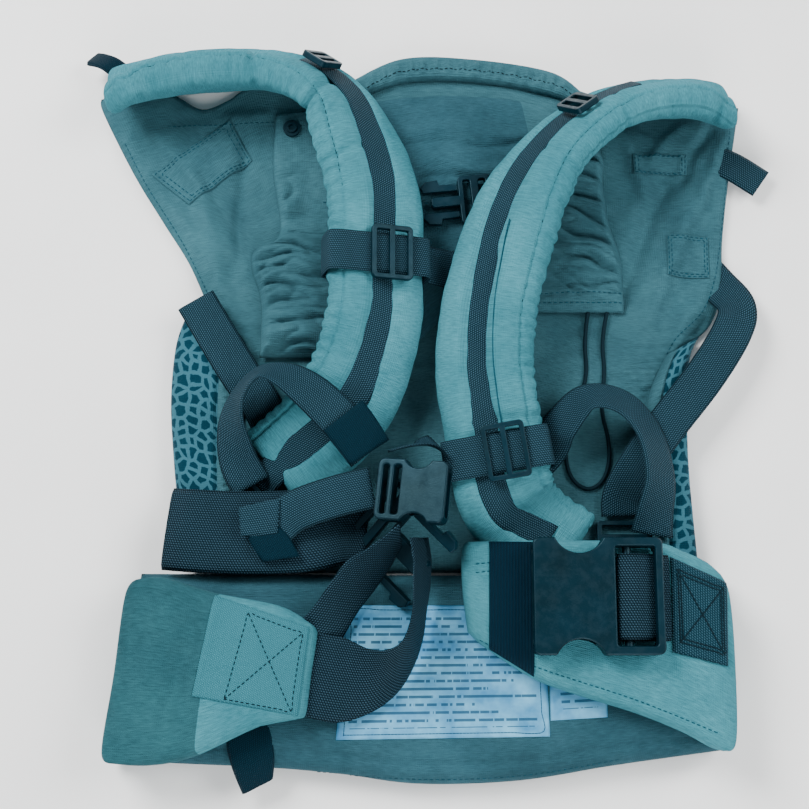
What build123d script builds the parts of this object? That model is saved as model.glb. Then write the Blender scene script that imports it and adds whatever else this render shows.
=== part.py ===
from build123d import *
import os
from math import cos, pi, radians, sin, tan

# Soft baby carrier, lying flat on its outer face with the wearer's side up. Millimetres, +Z up.
# The origin is on the underside of the back panel, on the carrier's centre line. +Y is towards
# the shoulder straps, and the waist belt lies along X with its two wings folded over it.

# ---------------------------------------------------------------- driving dimensions
FABRIC = 1.2                    # one layer of canvas
WEB, WAIST_WEB = 25, 50         # webbing widths
STRAP_WEB = 20                  # webbing sewn along each shoulder strap
WEB_T = 1.6                     # webbing thickness
PANEL_T = 7                     # quilted back panel
BELT_T = 20                     # padded waist belt
WING_LOW, WING_TOP = 22, 40     # folded wings of the belt
LEG_T = 18                      # leg opening pads
HOOD_LOW, HOOD_TOP = 7.4, 13.8
SEAM_Y = -98                    # where the panel is sewn to the belt
TUCK_Y = -97                    # the right strap's end is tucked in above the belt
CORNER = 5

# ---------------------------------------------------------------- outlines, (x, y)
PANEL = [
    (-206, 203), (-184, 160), (-163, 126), (-146, 99), (-136, 81), (-128, 62), (-109, 47), (-109, SEAM_Y),
    (143, SEAM_Y), (143, 10), (156, 40), (186, 62), (191, 82), (203, 157), (212, 205),
    (147, 206), (114, 215), (81, 229), (35, 236), (-11, 236), (-45, 222), (-60, 208), (-77, 203), (-123, 203),
]
NECK_ROLL = [(-30, 216), (-8, 225), (35, 226), (78, 218), (84, 228), (36, 236), (-11, 236), (-34, 226)]
LEG_LEFT = [(-109.4, 45.6), (-127.5, 59.6), (-145, 65), (-152, 44), (-154, 9), (-151, -29), (-147, -60), (-141, -97),
            (-109.4, -97)]
LEG_RIGHT = [(143.5, 9), (156.4, 39), (178, 51), (171, 34), (168, -4), (168, -42), (172, -96), (143.5, -96)]
HOOD = [
    (-94, 199), (-95, 161), (-87, 118), (-104, 106), (-105, 93), (-99, 72), (-95, 37), (-20, 37), (20, 66),
    (131, 66), (130, 99), (123, 125), (120, 151), (121, 168), (112, 190), (78, 206), (35, 213), (-8, 212), (-60, 203),
]
BELT = [
    (-166, SEAM_Y), (186, SEAM_Y), (187, -108), (184, -203), (119, -213), (60, -222), (1, -224), (-46, -219),
    (-93, -215), (-171, -214), (-184, -210), (-173, -104),
]
WING_LEFT = [
    (-173, -104), (-153, -103), (-119, -112), (-81, -120), (-57, -131), (-65, -185), (-94, -190), (-129, -207),
    (-178, -213), (-184, -210),
]
WING_RIGHT = [
    (26, -81), (139, -81), (160, -88), (175, -96), (186, -107), (184, -198), (175, -203), (125, -181), (67, -162),
    (39, -144), (29, -135),
]
KEEPER = [(41, -79.6), (68, -79.6), (68, -164.4), (41, -147.2)]
LABEL = [(-47, -119), (77, -119), (77, -197), (-47, -197)]
LABEL_SMALL = [(77.4, -150), (112, -150), (112, -186), (77.4, -186)]

# ---------------------------------------------------------------- routes
# A strap route is a list of (x, y, z, lean, width, thickness). Lean 0 lies flat, and a positive
# lean lifts the edge on the right of someone who looks back along the route.
STRAP_LEFT = [
    (-196, 207, 24, -66, 40, 14), (-180, 214, 29, -76, 52, 18), (-148, 222, 30, -79, 54, 18),
    (-112, 224, 32, -79, 54, 18), (-88, 221, 36, -72, 54, 18), (-66, 209, 41, -58, 56, 18),
    (-50, 193, 43, -46, 58, 18), (-40, 172, 43, -34, 60, 18), (-31, 148, 40.5, -24, 60, 18),
    (-26, 124, 38, -18, 60, 18), (-26, 92, 38, -18, 60, 18), (-26, 60, 38, -18, 60, 18),
    (-32, 31, 34, -13, 60, 18), (-42, 8, 30, -8, 61, 17), (-57, -12, 24, -4, 61, 15), (-82, -34, 17.5, 0, 60, 13),
]
STRAP_RIGHT = [
    (199, 197, 27, 62, 36, 14), (176, 200, 35, 74, 50, 18), (150, 199, 36, 72, 52, 18),
    (126, 191, 40, 62, 54, 18), (106, 179, 43, 52, 54, 18), (86, 161, 44, 43, 56, 18),
    (70, 138, 43, 33, 58, 18), (59, 114, 41.5, 25, 60, 18), (51, 90, 39.5, 20, 60, 18),
    (44, 62, 37, 17, 60, 18), (41, 32, 32, 12, 60, 18), (42, 10, 29.8, 8, 60, 18),
    (47, -20, 28.3, 8, 60, 18), (52, -50, 26.8, 8, 60, 18),
    (58, -63, 17.4, 4, 60, 12.4), (70, -76, 13.4, 0, 60, 12), (90, -91, 13.4, 0, 58, 12),
]
LEFT_CHEST = (-26, 92, 38)      # where each half of the chest strap is looped round its strap
RIGHT_CHEST = (48.5, -29, 27.85)
LEFT_RUN, RIGHT_RUN = (0, -1, 0), (5, -30, -1.5)
LEFT_LEAN, RIGHT_LEAN = -18, 8

# Webbing routes are lists of (x, y, z, lean).
SIDE_LEFT = [(-139, 71, 19.6, 0), (-124, 46, 19.6, 0), (-109, 22, 19.6, 0), (-98, 7, 19, 0), (-91, -7, 8.6, 0),
             (-89, -20, 8.3, 0)]
TAIL_LEFT = [(-101, -47, 21, 0), (-109, -32, 25, -18), (-112, -12, 34, -40), (-107, 6, 43, -60), (-95, 18, 48, -62),
             (-80, 16, 50, -40), (-62, 4, 49.5, -14), (-44, -14, 47.6, 0), (-30, -31, 42, 0)]
SIDE_RIGHT = [(189, 96, 9, 0), (198, 74, 16, 0), (196, 54, 20, 0), (178, 22, 21, 0), (154, -8, 21, 0),
              (137, -31, 22.8, 0), (126, -51, 13, 0), (125, -64, 11, 0)]
TAIL_RIGHT = [(88, -22, 17, 0), (89, -6, 26, -30), (104, 6, 33, -40), (125, 2, 34, -40), (140, -16, 33, -40),
              (146, -42, 30.5, -35), (143, -64, 25, -20), (141, -77, 22, 0)]
TAB_LEFT = [(-205, 216, 8.4, 0), (-208, 228, 12, 0), (-208, 243, 15, 0)]
TAB_RIGHT = [(196, 178, 8.4, 0), (207, 166, 8.4, 0), (222, 150, 8.4, 0)]
WAIST_LOOP = [(-60.2, -157, 31, 0), (-46, -159.1, 34, 6), (-27, -153, 40, 16), (-13, -136, 46, 18), (-8, -116, 50, 14),
              (-12, -98, 51, 10)]
WAIST_TAIL = [(-46, -70, 27.4, 0), (-70, -75, 27.4, 0), (-104, -76, 26.5, 0), (-152, -73, 24, 0)]
CHEST_LEFT = [(6.4, 92, 26.5, 0), (14, 92, 20.5, 0), (24, 92, 15.8, 0), (40, 94, 15.6, 0), (56, 102, 15.6, 0),
              (66, 114, 15.6, 0), (67, 127, 15.6, 0), (62, 136, 16, 0), (55, 139, 17, 0)]
CHEST_RIGHT = [(12.5, -25, 34, 50), (4, -25, 42, 76), (-7, -27, 46, 80), (-17, -30, 47, 80)]
CHEST_TAIL = [(-27, -52, 48, 0), (-50, -57, 44, 0), (-74, -65, 37, 0), (-88, -77, 34, 0)]
HOOD_CORD_D = 2.5
HOOD_CORD = [
    (108, 65.6, 10.6), (105, 48, 8.7), (107, 24, 8.7), (98, 0, 8.7), (91, -22, 8.7), (94, -41, 8.7), (106, -49, 8.7),
    (117, -40, 8.7), (120, -20, 8.7), (114, 4, 8.7), (118, 26, 8.7), (116, 48, 8.7), (120, 65.6, 10.6),
]

# ---------------------------------------------------------------- buckles
# A buckle's place is (centre, heading in plan, tilt of its front, roll), in millimetres and degrees.
WAIST_FEMALE = ((103.5, -115.5, 49.4), 180, 0, 0)
WAIST_MALE = ((-15.5, -80, 34.6), -46, 8, -25)
CHEST_FEMALE = ((-3, -56, 59.5), -6, 16, 0)
CHEST_MALE = ((27, 137, 17.6), 186, 2, 0)
BAR_AT = (121, 49.4)            # the waist buckle's webbing bar, in X and Z
BAR_R = 2.5
FLAP_X = 146                    # the waist webbing is sewn down beyond this line


def finish(builder, label):
    """Names a finished piece and writes it to its own file."""
    builder.part.label = label
    export_step(builder.part, f"parts/{label}.step")


def slab(label, outline, low, high, corner=CORNER):
    """One flat layer of a padded piece: an outline with rounded corners between two heights."""
    with BuildPart() as layer:
        with BuildSketch(Plane.XY.offset(low)):
            with BuildLine():
                Polyline(*outline, close=True)
            make_face()
            if corner:
                fillet(vertices(), corner)
        extrude(amount=high - low)
    finish(layer, label)


def section(at, run, lean):
    """The plane across a strap: z along its run, x across it and y out of its face."""
    along = Vector(*run).normalized()
    across = Vector(0, 0, 1).cross(along).normalized()
    side = across * cos(radians(lean)) + along.cross(across) * sin(radians(lean))
    return Plane(origin=at, x_dir=side, z_dir=along)


def sections(route):
    """The section planes of a whole route."""
    found = []
    for i, (x, y, z, lean, *rest) in enumerate(route):
        before, after = route[max(i - 1, 0)], route[min(i + 1, len(route) - 1)]
        run = [after[k] - before[k] for k in range(3)]
        found.append((section((x, y, z), run, lean), rest))
    return found


def strap_layer(label, route, low, high, cut_y=None):
    """One layer of a padded strap, between two shares of its thickness."""
    with BuildPart() as layer:
        for plane, (width, thick) in sections(route):
            with BuildSketch(plane):
                with Locations((0, (low + high) / 2 * thick)):
                    Rectangle(width, (high - low) * thick)
        loft(ruled=True)
        if cut_y is not None:
            split(bisect_by=Plane.XZ.offset(-cut_y), keep=Keep.BOTTOM)
    finish(layer, label)


def strap_webbing(label, route, cut_y=None):
    """The webbing sewn along the middle of a strap's face."""
    with BuildPart() as band:
        for plane, (width, thick) in sections(route):
            with BuildSketch(plane):
                with Locations((0, thick / 2 + 0.4 + WEB_T / 2)):
                    Rectangle(STRAP_WEB, WEB_T)
        loft(ruled=True)
        if cut_y is not None:
            split(bisect_by=Plane.XZ.offset(-cut_y), keep=Keep.BOTTOM)
    finish(band, label)


def ribbon(label, route, width=WEB, thick=WEB_T):
    """Loose webbing that follows a route."""
    with BuildPart() as band:
        for plane, rest in sections(route):
            with BuildSketch(plane):
                Rectangle(width, thick)
        loft(ruled=True)
    finish(band, label)


def strap_loop(label, at, run, lean):
    """Webbing that passes right round a padded strap, with room to slide along it."""
    plane = section(at, run, lean)
    with BuildPart() as band:
        with BuildSketch(plane):
            with Locations((0, 0.8)):
                RectangleRounded(65.2, 25.2, 5)
                RectangleRounded(62, 22, 3.4, mode=Mode.SUBTRACT)
        extrude(amount=WEB / 2, both=True)
    finish(band, label)


def buckle_plane(place):
    """A buckle's own plane: y forward, x to its right, z out of its upper face."""
    at, heading, tilt, roll = place
    level = Vector(cos(radians(heading)), sin(radians(heading)), 0)
    forward = level * cos(radians(tilt)) + Vector(0, 0, 1) * sin(radians(tilt))
    up = Vector(0, 0, 1) * cos(radians(tilt)) - level * sin(radians(tilt))
    right = forward.cross(up)
    side = right * cos(radians(roll)) + up * sin(radians(roll))
    return Plane(origin=at, x_dir=side, z_dir=side.cross(forward))


def soften(builder, plane, radius):
    """Rounds the rims of the upper and lower faces of a moulded piece."""
    stack = builder.faces().sort_by(Axis(plane.origin, plane.z_dir))
    fillet(stack[-1].edges() + stack[0].edges(), radius)


def bar_slide(label, plane, width, length, thick, bars=(0,)):
    """A flat webbing slide: a rounded frame crossed by bars that leave slots for the webbing."""
    with BuildPart() as slide:
        with BuildSketch(plane):
            RectangleRounded(width, length, 3)
            RectangleRounded(width - 6, length - 6, 1, mode=Mode.SUBTRACT)
            for bar in bars:
                with Locations((0, bar)):
                    Rectangle(width - 4, 3.4)
        extrude(amount=thick)
        soften(slide, plane, 0.6)
    finish(slide, label)


def male_buckle(prefix, place, width, web, reach, thick):
    """The male half of a side release buckle: a slotted base with a tongue, and two arms."""
    plane = buckle_plane(place)
    with BuildPart() as base:
        with BuildSketch(plane):
            with Locations((0, -11)):
                RectangleRounded(width, 22, 3)
            with Locations((0, reach / 2 - 4)):
                RectangleRounded(width / 5, reach - 4, 2)
            with Locations((0, -5.5), (0, -15.5)):
                RectangleRounded(web + 2, 4.6, 1.5, mode=Mode.SUBTRACT)
        extrude(amount=thick / 2, both=True)
        soften(base, plane, 0.7)
    finish(base, f"{prefix}_male")
    for name, hand in (("right", 1), ("left", -1)):
        root = hand * (width / 2 - 7)
        with BuildPart() as arm:
            with BuildSketch(plane):
                with BuildLine():
                    Polyline(
                        (root - hand * 2, 0.6), (root + hand * 2, 0.6), (root + hand * 2.4, reach - 12),
                        (root + hand * 6, reach - 11), (root + hand * 5, reach - 3), (root + hand * 1.5, reach),
                        (root - hand * 2, reach - 1), close=True)
                make_face()
            extrude(amount=thick / 2 - 0.4, both=True)
            soften(arm, plane, 0.7)
        finish(arm, f"{prefix}_arm_{name}")


def female_buckle(label, place, width, length, thick, mouth, cuts, slots, bar=None):
    """The hollow female half of a side release buckle. Its mouth is at the front."""
    plane = buckle_plane(place)
    mouth_width, mouth_thick, mouth_depth = mouth
    cut_radius, cut_depth, cut_at = cuts
    with BuildPart() as housing:
        with BuildSketch(plane):
            RectangleRounded(width, length, 4)
            for hand in (-1, 1):
                with Locations((hand * (width / 2 - cut_depth + cut_radius), cut_at)):
                    Circle(cut_radius, mode=Mode.SUBTRACT)
            for at, size in slots:
                with Locations((0, at)):
                    RectangleRounded(mouth_width, size, 1.5, mode=Mode.SUBTRACT)
        extrude(amount=thick / 2, both=True)
        soften(housing, plane, 1)
        front = Plane(plane.from_local_coords((0, length / 2, 0)), plane.x_dir, -plane.y_dir)
        with BuildSketch(front):
            RectangleRounded(mouth_width, mouth_thick, mouth_thick / 2 - 0.2)
        extrude(amount=mouth_depth, mode=Mode.SUBTRACT)
        if bar:
            with BuildSketch(Plane(plane.from_local_coords((0, bar, 0)), plane.z_dir, plane.x_dir)):
                Circle(BAR_R)
            extrude(amount=mouth_width / 2 + 1, both=True)
            with BuildSketch(plane.offset(-thick / 2)):
                with Locations((0, 1 - length / 2)):
                    Rectangle(mouth_width - 4, 10)
            extrude(amount=4.4, mode=Mode.SUBTRACT)
    finish(housing, label)


# ---------------------------------------------------------------- back panel and leg pads
slab("panel_outer", PANEL, 0, FABRIC)
slab("panel_wadding", PANEL, FABRIC, PANEL_T - FABRIC)
slab("panel_lining", PANEL, PANEL_T - FABRIC, PANEL_T)
slab("panel_neck_roll", NECK_ROLL, PANEL_T, PANEL_T + 9, 3)
slab("leg_pad_left_foam", LEG_LEFT, 0, LEG_T - FABRIC, 0)
slab("leg_pad_left_cover", LEG_LEFT, LEG_T - FABRIC, LEG_T, 0)
slab("leg_pad_right_foam", LEG_RIGHT, 0, LEG_T - FABRIC, 0)
slab("leg_pad_right_cover", LEG_RIGHT, LEG_T - FABRIC, LEG_T, 0)

# ---------------------------------------------------------------- hood, its snap and its cord
slab("hood", HOOD, HOOD_LOW, HOOD_TOP, 4)
with BuildPart() as snap:
    with BuildSketch(Plane.XY.offset(HOOD_TOP)):
        with Locations((-81, 188)):
            Circle(5.5)
    extrude(amount=2)
    with BuildSketch(Plane.XY.offset(HOOD_TOP + 2)):
        with Locations((-81, 188)):
            Circle(3.4)
            Circle(2, mode=Mode.SUBTRACT)
    extrude(amount=1.2)
finish(snap, "hood_snap")

cord_runs = [(Vector(*b) - Vector(*a)).length for a, b in zip(HOOD_CORD, HOOD_CORD[1:])]
cord_radii = []
for i in range(1, len(HOOD_CORD) - 1):
    into = Vector(*HOOD_CORD[i]) - Vector(*HOOD_CORD[i - 1])
    out = Vector(*HOOD_CORD[i + 1]) - Vector(*HOOD_CORD[i])
    half_turn = radians(into.get_angle(out)) / 2
    cord_radii.append(0.45 * min(cord_runs[i - 1], cord_runs[i]) / tan(half_turn))
with BuildPart() as hood_cord:
    with BuildLine() as cord_path:
        FilletPolyline(*HOOD_CORD, radius=cord_radii)
    cord_wire = cord_path.wire()
    with BuildSketch(Plane(origin=cord_wire @ 0, z_dir=cord_wire % 0)):
        Circle(HOOD_CORD_D / 2)
    sweep(path=cord_wire)
finish(hood_cord, "hood_cord")
print("hood cord radii", [round(r, 1) for r in cord_radii])
print("hood cord length", round(cord_wire.length, 1), "volume", round(hood_cord.part.volume, 1),
      "expected", round(pi * HOOD_CORD_D ** 2 / 4 * cord_wire.length, 1))

# ---------------------------------------------------------------- waist belt and its folded wings
slab("belt_outer", BELT, 0, FABRIC)
slab("belt_foam", BELT, FABRIC, BELT_T - FABRIC)
slab("belt_lining", BELT, BELT_T - FABRIC, BELT_T)
slab("care_label", LABEL, BELT_T, BELT_T + 0.4, 0)
slab("care_label_small", LABEL_SMALL, BELT_T, BELT_T + 0.4, 0)
for side, outline in (("left", WING_LEFT), ("right", WING_RIGHT)):
    slab(f"wing_{side}_lining", outline, WING_LOW, WING_LOW + FABRIC, 4)
    slab(f"wing_{side}_foam", outline, WING_LOW + FABRIC, WING_TOP - FABRIC, 4)
    slab(f"wing_{side}_outer", outline, WING_TOP - FABRIC, WING_TOP, 4)
slab("elastic_keeper", KEEPER, WING_TOP, WING_TOP + 1.4, 0)

# ---------------------------------------------------------------- shoulder straps
SKIN = FABRIC / 18              # the fabric's share of a strap's thickness
for side, route, cut in (("left", STRAP_LEFT, None), ("right", STRAP_RIGHT, TUCK_Y)):
    strap_layer(f"strap_{side}_lining", route, -0.5, -0.5 + SKIN, cut)
    strap_layer(f"strap_{side}_foam", route, -0.5 + SKIN, 0.5 - SKIN, cut)
    strap_layer(f"strap_{side}_outer", route, 0.5 - SKIN, 0.5, cut)
    strap_webbing(f"strap_{side}_webbing", route[4:], cut)

# ---------------------------------------------------------------- side webbing and its hardware
ribbon("side_webbing_left", SIDE_LEFT)
ribbon("side_tail_left", TAIL_LEFT)
ribbon("side_webbing_right", SIDE_RIGHT)
ribbon("side_tail_right", TAIL_RIGHT)
ribbon("corner_tab_left", TAB_LEFT, 13)
ribbon("corner_tab_right", TAB_RIGHT, 20)
bar_slide("ladder_lock_left", Plane((-92, -42.8, 11.5), (0.66, -0.75, 0), (0, 0, 1)), 31, 20, 4)
bar_slide("ladder_lock_right", Plane((125, -77, 9), (1, 0, 0), (0, 0, 1)), 31, 20, 4)

# ---------------------------------------------------------------- waist webbing and buckle
ribbon("waist_webbing_left", WAIST_LOOP, WAIST_WEB)
ribbon("waist_tail", WAIST_TAIL, WAIST_WEB)
male_buckle("waist", WAIST_MALE, 58, WAIST_WEB, 34, 6)
female_buckle("waist_female", WAIST_FEMALE, 67, 75, 14, (57, 9.4, 36), (15.4, 9, 10.5), ((-21.5, 23),), bar=-17.5)

with BuildPart() as flap:
    with BuildSketch(Plane.XZ.offset(116 - WAIST_WEB / 2)):
        with Locations(BAR_AT):
            Circle(BAR_R + 2.2)
        with BuildLine():
            Polyline((121, 43), (139, 42.6), (144, 40.3), (FLAP_X, 40.3), (FLAP_X, 43.5), (139, 45.9), (121, 46.3),
                     close=True)
        make_face()
        with Locations(BAR_AT):
            Circle(BAR_R + 0.5, mode=Mode.SUBTRACT)
    extrude(amount=WAIST_WEB)
finish(flap, "waist_webbing_right")
PATCH = [(FLAP_X + 0.4, -91), (149, -91), (181, -106), (179, -154), (149, -141), (FLAP_X + 0.4, -141)]
slab("waist_patch_right", PATCH, WING_TOP + 0.2, WING_TOP + 3.4, 0)

# ---------------------------------------------------------------- chest strap
chest_places = (("left", LEFT_CHEST, LEFT_RUN, LEFT_LEAN), ("right", RIGHT_CHEST, RIGHT_RUN, RIGHT_LEAN))
for side, at, run, lean in chest_places:
    strap_loop(f"chest_loop_{side}", at, run, lean)
    across = section(at, run, lean)
    bar_slide(f"chest_slider_{side}", Plane(across.from_local_coords((6, 13.8, 0)), across.z_dir, across.y_dir),
              34, 26, 3.6)
ribbon("chest_webbing_left", CHEST_LEFT)
ribbon("chest_webbing_right", CHEST_RIGHT)
ribbon("chest_tail_right", CHEST_TAIL)
male_buckle("chest", CHEST_MALE, 32, WEB, 24, 5)
female_buckle("chest_female", CHEST_FEMALE, 36, 42, 11.5, (29, 7, 22), (9, 5, 3), ((-9, 4.4), (-16, 3.6)))

# ---------------------------------------------------------------- strap adjusters
for side, route, station in (("left", STRAP_LEFT, 5), ("right", STRAP_RIGHT, 4)):
    spot, (_, thick) = sections(route)[station]
    bar_slide(f"strap_adjuster_{side}", Plane(spot.from_local_coords((0, thick / 2 + 3.6, 0)), spot.x_dir, spot.y_dir),
              27, 17, 4)
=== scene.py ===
from math import cos, pi, radians, sin, sqrt

import bmesh
import bpy
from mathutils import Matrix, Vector, noise
from mathutils.bvhtree import BVHTree


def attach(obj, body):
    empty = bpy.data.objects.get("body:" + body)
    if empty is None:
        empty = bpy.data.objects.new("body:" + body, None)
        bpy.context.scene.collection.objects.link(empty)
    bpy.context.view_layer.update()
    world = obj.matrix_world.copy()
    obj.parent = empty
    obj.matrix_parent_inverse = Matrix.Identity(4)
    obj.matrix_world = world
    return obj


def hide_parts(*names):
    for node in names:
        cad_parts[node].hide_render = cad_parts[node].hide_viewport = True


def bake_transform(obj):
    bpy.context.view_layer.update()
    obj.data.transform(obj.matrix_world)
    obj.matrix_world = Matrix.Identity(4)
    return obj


# A soft baby carrier lying flat, wearer's side up. Millimetres in the lists below, metres in the
# meshes, in the frame of the CAD model.
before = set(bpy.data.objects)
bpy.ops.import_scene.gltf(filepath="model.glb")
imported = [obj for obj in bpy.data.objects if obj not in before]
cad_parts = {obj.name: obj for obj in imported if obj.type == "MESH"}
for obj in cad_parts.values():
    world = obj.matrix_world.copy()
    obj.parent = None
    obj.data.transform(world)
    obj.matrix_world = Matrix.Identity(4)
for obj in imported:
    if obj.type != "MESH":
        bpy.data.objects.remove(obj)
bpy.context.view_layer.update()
MM = 0.001

# ---------------------------------------------------------------- camera
TARGET = Vector((-8, 5, 15)) * MM
DISTANCE = 850 * MM
ELEVATION = radians(78)
camera_data = bpy.data.cameras.new("camera")
camera_data.sensor_width = 36
camera_data.lens = 61.0
camera = bpy.data.objects.new("camera", camera_data)
camera.location = TARGET + Vector((0, -cos(ELEVATION), sin(ELEVATION))) * DISTANCE
camera.rotation_euler = (pi / 2 - ELEVATION, 0, 0)
bpy.context.collection.objects.link(camera)
bpy.context.scene.camera = camera

# ---------------------------------------------------------------- the hood's cord
CORD_D = 2.5
CORD_ROUTE = [
    (108, 65.6, 10.6), (105, 48, 8.7), (107, 24, 8.7), (98, 0, 8.7), (91, -22, 8.7), (94, -41, 8.7),
    (106, -49, 8.7),
    (117, -40, 8.7), (120, -20, 8.7), (114, 4, 8.7), (118, 26, 8.7), (116, 48, 8.7), (120, 65.6, 10.6),
]


def colour(red, green, blue):
    """An sRGB colour, 0 to 255, as the linear colour that a shader wants."""
    return tuple((c / 255 / 12.92) if c <= 10 else ((c / 255 + 0.055) / 1.055) ** 2.4
                 for c in (red, green, blue)) + (1,)


# ---------------------------------------------------------------- materials
class Shader:
    """A node material that is built a node at a time."""

    def __init__(self, name, roughness=0.85, sheen=0.0, specular=0.3):
        self.material = bpy.data.materials.new(name)
        self.material.use_nodes = True
        self.nodes = self.material.node_tree.nodes
        self.links = self.material.node_tree.links
        self.bsdf = self.nodes["Principled BSDF"]
        self.bsdf.inputs["Roughness"].default_value = roughness
        self.bsdf.inputs["Specular IOR Level"].default_value = specular
        self.bsdf.inputs["Specular Tint"].default_value = (0.35, 0.72, 0.86, 1)
        if sheen:
            self.bsdf.inputs["Sheen Weight"].default_value = sheen
            self.bsdf.inputs["Sheen Tint"].default_value = (0.3, 0.75, 0.9, 1)

    def add(self, kind, values=None, **settings):
        node = self.nodes.new(kind)
        for key, value in settings.items():
            setattr(node, key, value)
        for key, value in (values or {}).items():
            if isinstance(value, bpy.types.NodeSocket):
                self.links.new(value, node.inputs[key])
            else:
                node.inputs[key].default_value = value
        return node

    def maths(self, operation, a, b=0.0, clamp=False):
        return self.add("ShaderNodeMath", {0: a, 1: b}, operation=operation, use_clamp=clamp).outputs[0]

    def ramp(self, value, stops):
        node = self.add("ShaderNodeValToRGB", {"Fac": value})
        ramp = node.color_ramp
        while len(ramp.elements) < len(stops):
            ramp.elements.new(0.5)
        for element, (place, shade) in zip(ramp.elements, stops):
            element.position = place
            element.color = shade
        return node.outputs["Color"]

    def noise(self, scale, detail=3.0, roughness=0.55, vector=None):
        values = {"Scale": scale, "Detail": detail, "Roughness": roughness}
        values["Vector"] = vector or self.place()
        return self.add("ShaderNodeTexNoise", values).outputs["Fac"]

    def place(self):
        return self.add("ShaderNodeTexCoord").outputs["Object"]

    def uv(self):
        """The two cloth coordinates, in metres."""
        split = self.add("ShaderNodeSeparateXYZ", {"Vector": self.add("ShaderNodeUVMap").outputs["UV"]})
        return split.outputs["X"], split.outputs["Y"]

    def wave(self, coordinate, pitch, phase=0.0):
        """A sine from 0 to 1 with that pitch in metres."""
        turned = self.maths("MULTIPLY_ADD", coordinate, 2 * pi / pitch)
        turned.node.inputs[2].default_value = phase
        half = self.maths("MULTIPLY_ADD", self.maths("SINE", turned), 0.5)
        half.node.inputs[2].default_value = 0.5
        return half

    def mix(self, factor, a, b, blend="MIX"):
        node = self.add("ShaderNodeMix", data_type="RGBA", blend_type=blend)
        for socket, value in ((0, factor), (6, a), (7, b)):
            if isinstance(value, bpy.types.NodeSocket):
                self.links.new(value, node.inputs[socket])
            else:
                node.inputs[socket].default_value = value
        return node.outputs[2]

    def finish(self, base, height=None, strength=0.5, distance=0.0004, roughness=None):
        self.links.new(base, self.bsdf.inputs["Base Color"])
        if height is not None:
            bump = self.add("ShaderNodeBump",
                            {"Height": height, "Strength": strength, "Distance": distance})
            self.links.new(bump.outputs["Normal"], self.bsdf.inputs["Normal"])
        if roughness is not None:
            self.links.new(roughness, self.bsdf.inputs["Roughness"])
        return self.material


def canvas_material(name, light, deep, worn=0.35):
    """Cotton canvas: a fine weave with slubs along its weft, faded in patches."""
    s = Shader(name, roughness=0.95, sheen=0.05, specular=0.1)
    across, along = s.uv()
    weave = s.maths("MULTIPLY", s.wave(across, 0.0011), s.wave(along, 0.0011))
    stretched = s.add("ShaderNodeCombineXYZ",
                      {"X": s.maths("MULTIPLY", across, 0.16), "Y": along}).outputs[0]
    slub = s.noise(1100, 3.0, 0.6, stretched)
    patches = s.noise(16, 4.0, 0.6)
    fading = s.noise(60, 5.0, 0.7)
    base = s.ramp(patches, [(0.30, colour(*deep)), (0.72, colour(*light))])
    base = s.mix(s.maths("MULTIPLY", fading, worn, clamp=True), base,
                 colour(*(min(255, c + 34) for c in light)))
    streaks = s.ramp(slub, [(0.32, (0.54, 0.58, 0.60, 1)), (0.68, (1.06, 1.05, 1.05, 1))])
    base = s.mix(0.75, base, streaks, "MULTIPLY")
    height = s.maths("ADD", s.maths("MULTIPLY", weave, 0.4), s.maths("MULTIPLY", slub, 0.9))
    return s.finish(base, height, 0.9, 0.0007)


def webbing_material(name, dark, light, rib=0.0022, pitch=0.0024, worn=0.3):
    """Woven strap: rows of raised threads with a slant, a painted highlight on their tops and painted shade
    between them.
    """
    s = Shader(name, roughness=0.7, specular=0.2)
    across, along = s.uv()
    slanted = s.maths("ADD", along, s.maths("MULTIPLY", across, 0.55))
    rows = s.wave(across, rib)
    picks = s.wave(slanted, pitch)
    weave = s.maths("MULTIPLY", rows, picks)
    wear = s.noise(60, 3.0)
    # The slanted rib pattern is the webbing's own; its light tops are a painted highlight and its dark
    # grooves painted shade.
    weave_highlight_and_shade = s.ramp(weave, [(0.12, colour(*dark)), (0.75, colour(*light))])
    base = s.mix(s.maths("MULTIPLY", wear, worn, clamp=True), weave_highlight_and_shade, colour(*(c * 0.6 for c in dark)))
    fuzz = s.noise(1500, 2.0)
    height = s.maths("ADD", weave, s.maths("MULTIPLY", fuzz, 0.35))
    return s.finish(base, height, 0.8, 0.0006)


def plastic_material(name, shade, roughness=0.38):
    """Moulded acetal: nearly smooth, with a faint grain and scuffs on its roughness."""
    s = Shader(name, roughness=roughness, specular=0.35)
    grain = s.noise(1400, 2.0)
    cloudy = s.noise(35, 3.0)
    base = s.ramp(cloudy, [(0.3, colour(*shade)), (0.75, colour(*(c * 1.5 + 4 for c in shade)))])
    scuffs = s.ramp(s.noise(160, 5.0, 0.7),
                    [(0.45, (roughness,) * 3 + (1,)), (0.7, (roughness + 0.22,) * 3 + (1,))])
    return s.finish(base, grain, 0.18, 0.0003, scuffs)


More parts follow.
